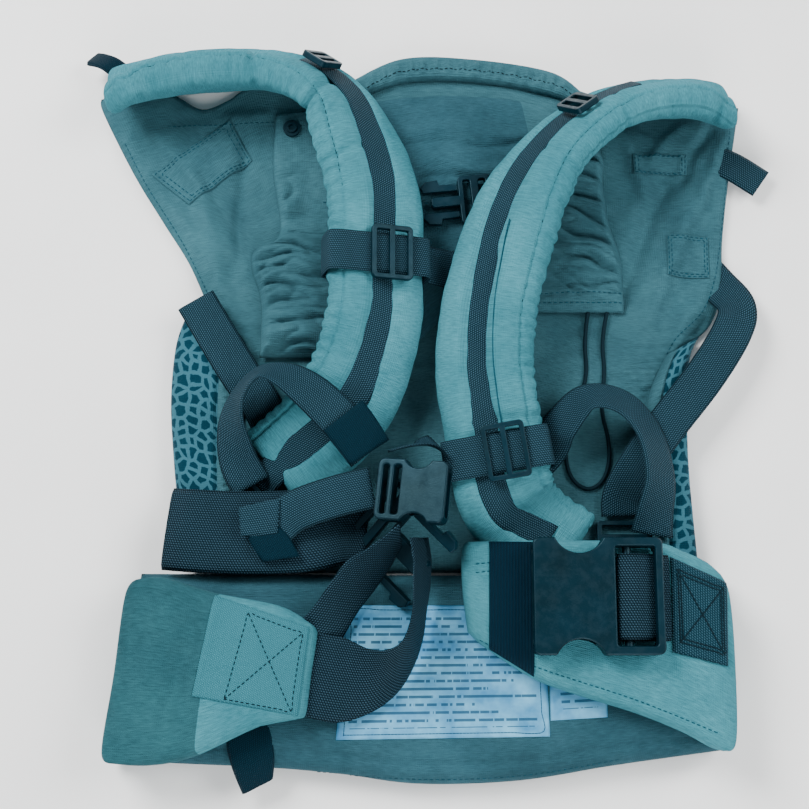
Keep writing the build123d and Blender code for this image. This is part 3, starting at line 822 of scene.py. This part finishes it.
# ---------------------------------------------------------------- waist belt and wings
BELT_TOP = [(-168, -99), (-100, -98.5), (0, -98.5), (100, -98.5), (184, -99)]
BELT_BOTTOM = [(-184, -209), (-93, -214.5), (-46, -218.5), (1, -223.5), (60, -221.5), (119, -212.5),
               (183, -203)]
BELT_LEFT = [(-184, -209), (-178, -160), (-168, -99)]
BELT_RIGHT = [(183, -203), (185.5, -150), (184, -99)]


def belt_folds(x, y, u, v):
    dent = -1.0 * bell(y + 112 - 0.02 * x, 2.2)
    hem = -1.8 * bell(v - 0.10, 0.018)
    pucker = (1 - step(0.02, 0.16, v)) * (1.1 * sin((x + 3 * ripple(x, y, 0, 14, 4)) * 2 * pi / 8)
                                          + 0.9 * ripple(x, y, 0, 7, 6))
    return dent + hem + pucker + 0.9 * ripple(x, y, 0, 30, 2) + 0.4 * ripple(x, y, 0, 10, 3)


# The belt takes the darker canvas as painted shade, where it lies low between the wings.
belt = pad("belt_middle", (BELT_BOTTOM, BELT_RIGHT, BELT_TOP, BELT_LEFT), 0.4, 19.6, (150, 60),
           [CLOTH_DEEP_SHADE], edge=13, power=2.2, shape=belt_folds)

WING_L = ([(-177, -210), (-155, -211), (-129, -206), (-94, -190), (-68, -184.5)],
          [(-68, -184.5), (-65, -181), (-62, -158), (-59, -137), (-61, -131.5)],
          [(-165, -104), (-150, -103), (-119, -112), (-81, -120), (-61, -131.5)],
          [(-177, -210), (-183, -203), (-178, -160), (-173, -113), (-165, -104)])
WING_R = ([(29, -135), (39, -144), (67, -162), (94, -172), (125, -181.5), (152, -192), (168, -200.5),
           (176, -203)],
          [(176, -203), (184, -197), (185.5, -150), (184, -114), (178, -101)],
          [(29, -82), (81, -81), (139, -82), (158, -88), (170, -93.5), (178, -101)],
          [(29, -135), (26, -108), (26, -88), (29, -82)])


WING_CREASES = [((-117, -106), (-136, -204), 6, 2.4), ((-126, -106), (-148, -206), 6, -2.2),
                ((-168, -112), (-130, -118), 3, -1.6),
                ((-176, -112), (-140, -110), 3, 1.4), ((60, -150), (176, -190), 5, -1.2),
                ((120, -182), (182, -196), 4, 1.2)]


def wing_folds(seed):
    def folds(x, y, u, v):
        creased = sum(crease(x, y, *one) for one in WING_CREASES)
        rim = min(v, 1 - v)
        pucker = (1 - step(0.02, 0.12, rim)) * 0.9 * sin((x + 2 * ripple(x, y, 0, 12, seed)) * 2 * pi / 7)
        return creased + pucker + 0.9 * ripple(x, y, 0, 34, seed) + 0.5 * ripple(x, y, 0, 12,
                seed + 2) + 0.25 * ripple(x, y, 0, 4, seed + 5)
    return folds


# Left of the wing's ridge (u below 0.455) the wing takes the darker canvas as painted shade.
wing_left = pad("wing_left_padding", WING_L, 22.2, 39.8, (90, 70), [CLOTH, CLOTH_FOLD_SHADE], edge=11,
                power=2.2, shape=wing_folds(3), slot_at=lambda u, v: 1 if u < 0.455 else 0)
wing_right = pad("wing_right_padding", WING_R, 22.2, 39.8, (110, 70), [CLOTH], edge=11, power=2.2,
                 shape=wing_folds(11))

for piece, cap in ((strap_left.object, 1.6), (strap_right.object, 1.6), (belt, 3.0), (wing_left, 2.2),
                   (wing_right, 2.2), (leg_left, 2.0), (leg_right, 2.0)):
    puff(piece, cap)

# ---------------------------------------------------------------- folds of the belt
def fold_skin(name, top, bottom, outward_sign, depth=15.0):
    """The cloth that turns round a folded wing, from the belt's face to the wing's."""
    verts, uvs, faces = [], [], []
    rows, turns = 48, 20
    for j in range(rows + 1):
        t = j / rows
        x = top[0] + (bottom[0] - top[0]) * t
        y = top[1] + (bottom[1] - top[1]) * t
        close = min(1.0, (1 - max(0.0, 1 - min(t, 1 - t) * 100 / 9) ** 2) ** 0.5 + 0.05)
        for k in range(turns + 1):
            angle = -pi / 2 + pi * k / turns
            crease = 1 - 0.42 * bell(angle, 0.24)
            pucker = 0.6 * ripple(y, angle * 14, 0, 7, 4) + 0.5 * sin(y * 2 * pi / 9 + angle)
            reach = depth * cos(angle) * crease * close + pucker * cos(angle)
            sink = 2.2 * (abs(sin(angle)) ** 24)
            verts.append((x + outward_sign * (reach - depth - 0.5), y,
                          20.6 + (19.2 * close - sink) * sin(angle)))
            uvs.append((t * 110, k / turns * 50))
    for j in range(rows):
        for k in range(turns):
            a = j * (turns + 1) + k
            faces.append([a, a + 1, a + turns + 2, a + turns + 1])
    obj = add_object(name, verts, faces, [CLOTH_MID], uvs)
    solid = obj.modifiers.new("cloth", "SOLIDIFY")
    solid.thickness = 1.0 * MM
    solid.offset = 0
    obj.data = bpy.data.meshes.new_from_object(obj.evaluated_get(bpy.context.evaluated_depsgraph_get()))
    obj.modifiers.clear()
    for polygon in obj.data.polygons:
        polygon.use_smooth = True
    return obj


fold_left = fold_skin("fold_left_cloth", (-172, -106), (-183, -208), -1)
fold_right = fold_skin("fold_right_cloth", (186, -108), (184.5, -199), 1)

# ---------------------------------------------------------------- webbing pieces
def strip(name, pairs, material, thick, cells=16, pitch=2.0):
    """Webbing stretched between two edges, so that it can twist and stand on its side."""
    rough = smooth(pairs, 50)
    length = sum((Vector(b[:3]) - Vector(a[:3])).length for a, b in zip(rough, rough[1:]))
    count = max(8, int(length / pitch))
    rows = smooth(pairs, count)
    verts, uvs, faces, run = [], [], [], 0.0
    for i, row in enumerate(rows):
        one, two = Vector(row[:3]), Vector(row[3:6])
        before, after = rows[max(i - 1, 0)], rows[min(i + 1, count - 1)]
        along = (Vector(after[:3]) + Vector(after[3:6]) - Vector(before[:3])
                 - Vector(before[3:6])).normalized()
        side = (two - one).normalized()
        out = along.cross(side).normalized()
        width = (two - one).length
        if i:
            run += ((one + two) / 2 - (Vector(rows[i - 1][:3]) + Vector(rows[i - 1][3:6])) / 2).length
        for sign in (1, -1):
            for k in range(cells + 1):
                w = -1 + 2 * k / cells
                half = thick / 2 * (1 - abs(w) ** 8) ** 0.5 if abs(w) < 1 else 0.15
                sway = 0.5 * ripple(run, w * 12, 0, 14, 3)
                verts.append(one + side * ((w + 1) / 2 * width) + out * (sign * half + sway))
                uvs.append((w * width / 2, run))
    n = 2 * (cells + 1)
    for i in range(count - 1):
        for k in range(cells):
            a, b = i * n + k, (i + 1) * n + k
            faces.append([a, a + 1, b + 1, b])
            a, b = a + cells + 1, b + cells + 1
            faces.append([b, b + 1, a + 1, a])
        for k, turn in ((0, 1), (cells, -1)):
            a, b = i * n + k, (i + 1) * n + k
            faces.append([a, b, b + cells + 1, a + cells + 1][::turn])
    for end in (0, count - 1):
        for k in range(cells):
            a = end * n + k
            faces.append([a, a + cells + 1, a + cells + 2, a + 1])
    return outward(add_object(name, verts, faces, [material], uvs))


def axes_of(centre, run, lean):
    """The side and outward directions across a strap at one place, as in the CAD model."""
    along = Vector(run).normalized()
    across = Vector((0, 0, 1)).cross(along).normalized()
    out = along.cross(across)
    side = across * cos(radians(lean)) + out * sin(radians(lean))
    return Vector(centre), side, along.cross(side), along


def loop_round(name, centre, run, lean, width, height, length, material, rise=0.8):
    """A closed ring of webbing round a strap: a rounded box outside, a little slack."""
    origin, side, out, along = axes_of(centre, run, lean)
    verts, uvs, faces = [], [], []
    turns, cells = 120, 10
    ring, run_length = [], [0.0]
    for k in range(turns):
        angle = 2 * pi * k / turns
        c, s = cos(angle), sin(angle)
        a = (abs(c) ** 0.32) * (1 if c >= 0 else -1) * width / 2
        b = (abs(s) ** 0.32) * (1 if s >= 0 else -1) * height / 2
        ring.append((a, b + rise))
    for k in range(1, turns + 1):
        p, q = ring[k % turns], ring[k - 1]
        run_length.append(run_length[-1] + sqrt((p[0] - q[0]) ** 2 + (p[1] - q[1]) ** 2))
    for k in range(turns + 1):
        a, b = ring[k % turns]
        p, q = ring[(k + 1) % turns], ring[(k - 1) % turns]
        tangent = Vector((p[0] - q[0], p[1] - q[1])).normalized()
        normal = (tangent.y, -tangent.x)
        for layer in (0.0, -1.5):
            for m in range(cells + 1):
                w = -1 + 2 * m / cells
                slack = 0.5 * ripple(a, b, w * 3, 20, 7)
                round_off = 0.5 * (abs(w) ** 8)
                depth = layer - round_off if layer == 0 else layer + round_off
                spot = (origin + side * (a + normal[0] * (depth + slack))
                        + out * (b + normal[1] * (depth + slack))
                        + along * (w * length / 2))
                verts.append(spot)
                uvs.append((w * length / 2, run_length[k]))
    n = 2 * (cells + 1)
    for k in range(turns):
        for m in range(cells):
            a, b = k * n + m, (k + 1) * n + m
            faces.append([a, a + 1, b + 1, b])
            a, b = a + cells + 1, b + cells + 1
            faces.append([b, b + 1, a + 1, a])
        for m in (0, cells):
            a, b = k * n + m, (k + 1) * n + m
            quad = [a, b, b + cells + 1, a + cells + 1]
            faces.append(quad if m == 0 else quad[::-1])
    return outward(add_object(name, verts, faces, [material], uvs))


strap_web_left = band("strap_webbing_left_visual", strap_left.on_face(0.3, 0.955, 1.7) +
                      [(-89, -38.5, 21.5, 0), (-94, -43, 14.6, 0), (-98, -46.5, 12.4, 0)], 20, WEBBING, 1.5)
strap_web_right = band("strap_webbing_right_visual", strap_right.on_face(0.14, 0.965, 1.7), 20, WEBBING,
                       1.5)


def tube(name, points, radius, material, around=8):
    """A round cord through points of (x, y, z)."""
    samples = smooth(points, max(12, len(points) * 3))
    verts, uvs, faces = [], [], []
    for i in range(len(samples)):
        centre, side, out, _ = frame_at(samples, i, 0)
        for k in range(around):
            angle = 2 * pi * k / around
            verts.append(centre + side * (radius * cos(angle)) + out * (radius * sin(angle)))
            uvs.append((k, i * 2))
    for i in range(len(samples) - 1):
        for k in range(around):
            a, b = i * around + k, i * around + (k + 1) % around
            faces.append([a, b, b + around, a + around])
    return outward(add_object(name, verts, faces, [material], uvs))


piping = tube("strap_right_piping", [row[:3] for row in strap_right.on_face(0.44, 0.84, 0.7, 10.8)], 0.42,
              THREAD)
strap_seams = joined("strap_seam_stitches", [
    dashes("seam_left", strap_left.seam(0.04, 0.93), THREAD_DARK, pitch=4.2, length=3.0, lift=0.3),
    dashes("seam_right", strap_right.seam(0.03, 0.82), THREAD_DARK, pitch=4.2, length=3.0, lift=0.3)])

SIDE_LEFT = [(-139, 71, 19.6, 0), (-124, 46, 19.9, 0), (-109, 22, 19.8, 0), (-98, 7, 19, 0),
             (-91, -7, 8.8, 0), (-89, -20, 8.5, 0)]
TAIL_LEFT = [(-101, -47, 21, 0), (-109, -32, 25, -18), (-112, -12, 34, -40), (-107, 6, 43, -60),
             (-95, 18, 48, -62),
             (-80, 16, 50, -40), (-62, 4, 49.5, -14), (-44, -14, 47.6, 0), (-30, -31, 42, 0)]
SIDE_RIGHT = [(181, 99, 3.2, 0), (192, 86, 4.4, 0), (201, 68, 15, 0), (196, 50, 20, 0), (178, 22, 21, 0),
              (154, -8, 21, 0), (137, -31, 22.8, 0), (126, -51, 13, 0), (125, -64, 11, 0)]
TAIL_RIGHT = [(70, -33, 12, 0), (80, -23, 15, -8), (88, -9, 25, -28), (104, 6, 33, -40), (125, 2, 34, -40),
              (140, -16, 33, -40), (146, -42, 30.5, -35), (143, -64, 25, -20), (141, -77, 22, 0)]
# Each row of these is (x, y, z) of one edge and then (x, y, z) of the other.
WAIST_LOOP = [(-72, -182, 30.5, -68, -135, 31), (-48, -187, 29.5, -45, -138, 33),
              (-29, -182, 28, -29, -145, 42),
              (-14, -172, 27, -18, -146, 55), (-3, -156, 27.5, -9, -141, 62), (3, -137, 28.5, -4, -126, 65),
              (8, -98, 31, -3, -100, 66), (6, -80, 34, -5, -83, 62)]
WAIST_RETURN = [(-11, -75, 60, -10, -86, 38), (-27, -87, 57, -15, -95, 33), (-42, -96, 50, -24, -108, 28.5),
                (-53, -110, 43, -36, -124, 27.5), (-64, -124, 36, -45, -139, 28),
                (-76, -134, 27, -56, -152, 26)]
WAIST_END = [(-109, -186, 20.5, -86, -184, 20.5), (-112, -198, 22.0, -85, -196, 22.0),
             (-109, -212, 20.5, -84, -209, 20.5), (-103, -228, 13, -85, -219, 16)]
TAIL_HEM = [(-56, -18, 49.6, -33, 0, 51.2), (-50, -26, 48.6, -26, -9, 49.4),
            (-40, -38, 45.6, -17, -23, 45.8)]
CHEST_TACK = [(-82, -57, 37.5, -83, -78, 37.0), (-94, -59, 36.5, -94, -79, 35.8),
              (-107, -62, 34.8, -105, -79, 34.2)]
CHEST_TIP = [(-103, -66, 33.5, -84, -72, 36.5), (-100, -82, 33.6, -76, -80, 36.0),
             (-92, -94, 33.0, -70, -91, 33.6)]
WAIST_TAIL = [(-30, -71, 27.8, 0), (-46, -70.5, 27.6, 0), (-70, -75, 27.6, 0), (-104, -76, 26.8, 0),
              (-136, -74.5, 25, 0), (-151, -73, 20.5, 0)]
CHEST_LEFT = [(6.4, 92, 26.5, 0), (14, 92, 20.5, 0), (24, 92, 15.8, 0), (40, 94, 15.6, 0),
              (56, 102, 15.6, 0),
              (66, 114, 15.6, 0), (67, 127, 15.6, 0), (62, 136, 16, 0), (55, 139, 17, 0)]
CHEST_RIGHT = [(12.5, -25, 34, 50), (4, -25, 42, 76), (-7, -27, 46, 80), (-17, -30, 47, 80)]
CHEST_TAIL = [(-27, -52, 48, 0), (-50, -57, 44, 0), (-74, -65, 37, 0), (-88, -77, 34, 0)]

side_web_left = band("side_webbing_left_visual", SIDE_LEFT, 25, WEBBING, 1.6)
tail_left = band("side_tail_left_visual", TAIL_LEFT, 25, WEBBING, 2.6)
side_web_right = band("side_webbing_right_visual", SIDE_RIGHT, 25, WEBBING, 1.6)
tail_right = band("side_tail_right_visual", TAIL_RIGHT, 25, WEBBING, 2.6)
tab_left = band("corner_tab_left_visual", [(-190, 224, 15, 0), (-199, 231, 17, 12), (-206, 235, 15, 20),
                                           (-212.5, 238, 11, 24)], 13.5, WEBBING_SMOOTH, 3.6)
tab_right = band("corner_tab_right_visual", [(190, 172, 5.4, 0), (205, 164, 8.2, 0), (222.5, 152, 8.6, 0)],
                 20, WEBBING, 3.0)
waist_web_left = strip("waist_webbing_left_visual", WAIST_LOOP, WEBBING_WIDE, 1.7)
waist_return = strip("waist_webbing_return", WAIST_RETURN, WEBBING_WIDE, 1.6)
waist_end_tab = strip("waist_webbing_end", WAIST_END, WEBBING_SMOOTH, 2.4)
tail_hem = strip("side_tail_left_hem", TAIL_HEM, WEBBING_SMOOTH, 3.6)
chest_tack = strip("chest_tail_fold", CHEST_TACK, WEBBING, 2.6)
chest_tip = strip("chest_tail_tip", CHEST_TIP, WEBBING_SMOOTH, 3.2)
waist_tail = band("waist_tail_visual", WAIST_TAIL, 50, WEBBING_WIDE, 3.4, cells=16, crown=0.8)
chest_web_left = band("chest_webbing_left_visual", CHEST_LEFT, 25, WEBBING, 1.6)
chest_web_right = band("chest_webbing_right_visual", CHEST_RIGHT, 25, WEBBING, 1.6)
chest_tail = band("chest_tail_right_visual", CHEST_TAIL, 25, WEBBING, 2.2)
chest_loop_left = loop_round("chest_loop_left_visual", (-26, 92, 38), (0, -1, 0), -18, 66.0, 25.6, 25,
                             WEBBING)
chest_loop_right = loop_round("chest_loop_right_visual", (48.5, -29, 27.85), (5, -30, -1.5), 8, 66.0, 25.6,
                              25, WEBBING)

# ---------------------------------------------------------------- reinforcement patches and flat pieces
top_of_panel = surface_of(back_panel, hood)
top_of_wings = surface_of(wing_left, wing_right, belt)


def drape(name, corners, tree, material, thick=0.9, lift=0.35, cells=40, default=0.0, ripples=0.15):
    """A thin sewn patch that follows what it lies on; corners is (x, y) four times, anticlockwise."""
    (ax, ay), (bx, by), (cx, cy), (dx, dy) = corners
    width, height = sqrt((bx - ax) ** 2 + (by - ay) ** 2), sqrt((dx - ax) ** 2 + (dy - ay) ** 2)
    verts, uvs, faces = [], [], []
    for layer in (1, 0):
        for j in range(cells + 1):
            for i in range(cells + 1):
                u, v = i / cells, j / cells
                x = (ax * (1 - u) + bx * u) * (1 - v) + (dx * (1 - u) + cx * u) * v
                y = (ay * (1 - u) + by * u) * (1 - v) + (dy * (1 - u) + cy * u) * v
                z, _ = drop(tree, x, y, default)
                rim = min(min(u, 1 - u) * width, min(v, 1 - v) * height)
                soft = min(1.0, rim / 0.8)
                waviness = ripples * ripple(x, y, 0, 8, 4)
                z += lift + (thick * (0.45 + 0.55 * soft) if layer else -0.8) + waviness
                verts.append((x, y, z))
                uvs.append((u * width, v * height))
    n = cells + 1
    for j in range(cells):
        for i in range(cells):
            a = j * n + i
            faces.append([a, a + 1, a + n + 1, a + n])
            faces.append([a + n * n, a + n * n + n, a + n * n + n + 1, a + n * n + 1])
    top_row = [(n - 1) * n + i for i in range(n - 2, -1, -1)]
    edge = list(range(n)) + [j * n + n - 1 for j in range(1, n)] + top_row
    edge += [j * n for j in range(n - 2, 0, -1)]
    for a, b in zip(edge, edge[1:] + edge[:1]):
        faces.append([b, a, a + n * n, b + n * n])
    return outward(add_object(name, verts, faces, [material], uvs))


patch_a = drape("panel_patch_square", [(-147, 138), (-107, 169), (-122, 197), (-172, 158)], top_of_panel,
                CLOTH_MID)
patch_b = drape("panel_patch_right", [(159, 90), (186, 88), (187, 116), (160, 117)],
                surface_of(back_panel), CLOTH_MID)
patch_c = drape("panel_patch_top", [(140, 159), (176, 160), (176, 173), (140, 172)],
                surface_of(back_panel), CLOTH_MID)
keeper = drape("elastic_keeper_visual", [(41, -145), (67, -161), (68, -81), (42, -81)], top_of_wings,
               ELASTIC, 1.3, 0.2, 48)
waist_patch = drape("waist_patch_visual", [(147, -147), (179, -155), (181, -107), (148, -92)],
                    top_of_wings, WEBBING_PATCH, 2.4, 0.3, 44)
label = drape("care_label_visual", [(-48, -197), (77, -195), (75, -119), (-43, -119)], surface_of(belt),
              SATIN, 0.6, 0.1, 60, ripples=0.5)
label_small = drape("care_label_small_visual", [(77.6, -186), (111, -184), (111, -154), (77.6, -156)],
                    surface_of(belt), SATIN_SMALL, 0.6, 0.1, 24)
wing_patch = drape("wing_left_patch", [(-130, -172), (-69, -183), (-63, -133), (-119, -114)],
                   surface_of(wing_left), TWILL, 0.9, 0.1, 50)

# ---------------------------------------------------------------- the socket's webbing
def socket_flap():
    """Webbing that rises from the wing, round the buckle's bar and back under itself."""
    route = [(146.4, -116, 43.0, 0), (140, -116, 46, 0), (133, -116, 51.0, 0), (126, -116, 54.2, 0),
             (121, -116, 54.6, 0),
             (116.4, -116, 52.6, 0), (115.4, -116, 49.4, 0), (117, -116, 46.4, 0), (121.5, -116, 44.6, 0),
             (128, -116, 44.2, 0), (138, -116, 43.2, 0), (146.2, -116, 41.4, 0)]
    return band("waist_webbing_right_visual", route, 49.6, WEBBING_WIDE, 1.7, cells=16, pitch=1.2)


waist_web_right = socket_flap()

# ---------------------------------------------------------------- stitching


def box_of(corners, inset):
    """The rectangle inside four corners, as a closed run of points."""
    centre = Vector((sum(c[0] for c in corners) / 4, sum(c[1] for c in corners) / 4))
    found = [centre + (Vector(c) - centre) * (1 - inset) for c in corners]
    run = []
    for a, b in zip(found, found[1:] + found[:1]):
        run += [a + (b - a) * t / 6 for t in range(6)]
    return [(p.x, p.y) for p in run + [found[0]]]


def straight(a, b, count=8):
    return [(a[0] + (b[0] - a[0]) * t / count, a[1] + (b[1] - a[1]) * t / count) for t in range(count + 1)]


def sewn(name, tree, runs, material=THREAD, **more):
    parts = [dashes(f"{name}_{i}", stitch_line(tree, run), material, **more) for i, run in enumerate(runs)]
    return joined(name, parts)


def crossed(corners, inset=0.12):
    """A box and both its diagonals."""
    box = box_of(corners, inset)
    return [box, straight(box[0], box[12]), straight(box[6], box[18])]


patch_corners = ([(-147, 138), (-107, 169), (-122, 197), (-172, 158)],
                 [(159, 90), (186, 88), (187, 116), (160, 117)],
                 [(140, 159), (176, 160), (176, 173), (140, 172)])
patches_tree = surface_of(patch_a, patch_b, patch_c, back_panel)
panel_stitches = sewn("panel_stitches", patches_tree,
                      [box_of(c, i) for c in patch_corners for i in (0.08, 0.2)] +
                      [[(-163, 193), (-130, 193), (-90, 196)],
                       [(-190, 180), (-174, 150), (-150, 112), (-132, 76)],
                       [(146, -90), (146, -30), (147, 6), (160, 44), (184, 72), (196, 120), (204, 190)]])
wing_left_stitches = sewn("wing_left_stitches", surface_of(wing_patch, wing_left),
                          crossed([(-112, -174), (-73, -181), (-67, -136), (-99, -124)], 0.02) +
                          [], THREAD_DARK, pitch=3.2, length=2.2, radius=0.27)
wing_tree = surface_of(waist_patch, wing_right)
wing_right_stitches = sewn("wing_right_stitches", wing_tree,
                           [[(34, -96), (80, -92), (134, -93)], [(34, -101), (80, -97), (134, -98)],
                            [(36, -140), (67, -155), (125, -174), (170, -192)]])
patch_stitches = sewn("waist_patch_stitches", surface_of(waist_patch), material=THREAD_DARK, runs=
                      crossed([(151, -142), (177, -149), (178, -110), (151, -99)], 0.03) +
                      [box_of([(151, -142), (177, -149), (178, -110), (151, -99)], 0.14)], pitch=2.6,
                      length=2.5, radius=0.42)
belt_stitches = sewn("belt_stitches", surface_of(belt),
                     [[(-60, -216), (1, -219.5), (60, -217.5), (119, -208)],
                                                         [(-50, -122), (0, -121), (22, -121)]])
label_rules = sewn("label_border", surface_of(label),
                   [box_of([(-48, -197), (77, -195), (75, -119), (-43, -119)], 0.07)], INK, pitch=2.0,
                   length=2.1, radius=0.18)
neck_stitches = sewn("neck_edge_stitches", surface_of(neck_roll),
                     [[(-38, 213), (-9, 227.5), (36, 228.5), (86, 219.5), (107, 207)]], THREAD_DARK)
hood_stitches = sewn("hood_stitches", surface_of(hood),
                     [[(26, 77), (60, 77), (128, 77)], [(28, 71), (60, 71), (129, 71)],
                      [(-60, 138), (0, 138), (60, 138)],
                      [(-52, 56), (-52, 100), (-52, 150), (-56, 196)]], material=THREAD)

# ---------------------------------------------------------------- cord
curve = bpy.data.curves.new("hood_cord_visual", "CURVE")
curve.dimensions = "3D"
curve.bevel_depth = CORD_D / 2 * MM
curve.bevel_resolution = 4
curve.resolution_u = 8
spline = curve.splines.new("NURBS")
spline.points.add(len(CORD_ROUTE) - 1)
for point, (x, y, z) in zip(spline.points, CORD_ROUTE):
    point.co = (x * MM, y * MM, z * MM, 1)
spline.order_u = 3
spline.use_endpoint_u = True
cord = bpy.data.objects.new("hood_cord_visual", curve)
bpy.context.collection.objects.link(cord)
curve.materials.append(THREAD_DARK)
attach(cord, "carrier")


def rest(piece):
    """Nothing lies below the floor."""
    for vertex in piece.data.vertices:
        vertex.co.z = max(vertex.co.z, 0.0001)


for piece, body, nodes in (
        (back_panel, "carrier", ("panel_outer", "panel_wadding", "panel_lining")),
        (neck_roll, "carrier", ("panel_neck_roll",)),
        (hood, "carrier", ("hood",)),
        (leg_left, "carrier", ("leg_pad_left_cover", "leg_pad_left_foam")),
        (leg_right, "carrier", ("leg_pad_right_cover", "leg_pad_right_foam")),
        (belt, "carrier", ("belt_outer", "belt_foam", "belt_lining")),
        (wing_left, "left_wing", ("wing_left_outer", "wing_left_foam", "wing_left_lining")),
        (wing_right, "right_wing", ("wing_right_outer", "wing_right_foam", "wing_right_lining")),
        (strap_left.object, "carrier", ("strap_left_outer", "strap_left_foam", "strap_left_lining")),
        (strap_right.object, "carrier", ("strap_right_outer", "strap_right_foam", "strap_right_lining")),
        (strap_web_left, "carrier", ("strap_left_webbing",)),
        (strap_web_right, "carrier", ("strap_right_webbing",)),
        (side_web_left, "carrier", ("side_webbing_left",)),
        (tail_left, "carrier", ("side_tail_left",)),
        (side_web_right, "carrier", ("side_webbing_right",)),
        (tail_right, "carrier", ("side_tail_right",)),
        (tab_left, "carrier", ("corner_tab_left",)),
        (tab_right, "carrier", ("corner_tab_right",)),
        (waist_tail, "carrier", ("waist_tail",)),
        (chest_web_left, "chest_left", ("chest_webbing_left",)),
        (chest_loop_left, "chest_left", ("chest_loop_left",)),
        (chest_web_right, "chest_right", ("chest_webbing_right",)),
        (chest_tail, "chest_right", ("chest_tail_right",)),
        (chest_loop_right, "chest_right", ("chest_loop_right",)),
        (keeper, "right_wing", ("elastic_keeper",)),
        (waist_patch, "right_wing", ("waist_patch_right",)),
        (waist_web_right, "waist_socket", ("waist_webbing_right",)),
        (label, "carrier", ("care_label",)),
        (label_small, "carrier", ("care_label_small",)),
        (patch_a, "carrier", ()), (patch_b, "carrier", ()), (patch_c, "carrier", ()),
        (wing_patch, "left_wing", ()), (neck_stitches, "carrier", ()), (waist_end_tab, "carrier", ()),
        (tail_hem, "carrier", ()), (chest_tack, "chest_right", ()), (chest_tip, "chest_right", ()),
        (panel_stitches, "carrier", ()), (hood_stitches, "carrier", ()), (belt_stitches, "carrier", ()),
        (label_rules, "carrier", ()), (wing_left_stitches, "left_wing", ()),
        (wing_right_stitches, "right_wing", ()),
        (patch_stitches, "right_wing", ()), (strap_seams, "carrier", ()), (piping, "carrier", ())):
    rest(piece)
    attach(piece, body)
    if nodes:
        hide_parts(*nodes)

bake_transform(fold_left)
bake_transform(fold_right)
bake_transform(waist_web_left)
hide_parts("waist_webbing_left")
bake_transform(waist_return)
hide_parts("hood_cord")

for name in ("waist_female", "waist_male", "waist_arm_left", "waist_arm_right", "chest_female",
             "chest_male", "chest_arm_left",
             "chest_arm_right", "chest_slider_left", "chest_slider_right", "ladder_lock_left",
             "ladder_lock_right", "strap_adjuster_left", "strap_adjuster_right", "hood_snap"):
    node = bpy.data.objects[name]
    node.data.materials.clear()
    node.data.materials.append(PLASTIC_DARK)

# ---------------------------------------------------------------- floor and light
floor_mesh = bpy.data.meshes.new("floor")
floor_mesh.from_pydata([(-3, -3, 0), (3, -3, 0), (3, 3, 0), (-3, 3, 0)], [], [[0, 1, 2, 3]])
floor = bpy.data.objects.new("floor", floor_mesh)
bpy.context.collection.objects.link(floor)
paper = Shader("floor_paper", roughness=0.8, specular=0.2)
pale = paper.ramp(paper.noise(8, 3.0), [(0.3, colour(248, 248, 247)), (0.7, colour(253, 253, 252))])
floor_mesh.materials.append(paper.finish(pale))


def area_light(name, place, size, power, tint=(1, 1, 1)):
    light = bpy.data.lights.new(name, "AREA")
    light.shape = "SQUARE"
    light.size = size
    light.energy = power
    light.color = tint
    lamp = bpy.data.objects.new(name, light)
    lamp.location = place
    lamp.rotation_euler = (TARGET - Vector(place)).to_track_quat("-Z", "Y").to_euler()
    bpy.context.collection.objects.link(lamp)


area_light("key_light", (-0.85, 0.75, 1.15), 0.7, 40)
area_light("side_light", (1.15, 0.35, 1.1), 0.9, 22)
area_light("front_light", (0.1, -1.3, 0.9), 1.0, 20)
world = bpy.data.worlds.new("studio")
world.use_nodes = True
world.node_tree.nodes["Background"].inputs["Color"].default_value = (0.9, 0.95, 1.0, 1)
world.node_tree.nodes["Background"].inputs["Strength"].default_value = 0.4
bpy.context.scene.world = world
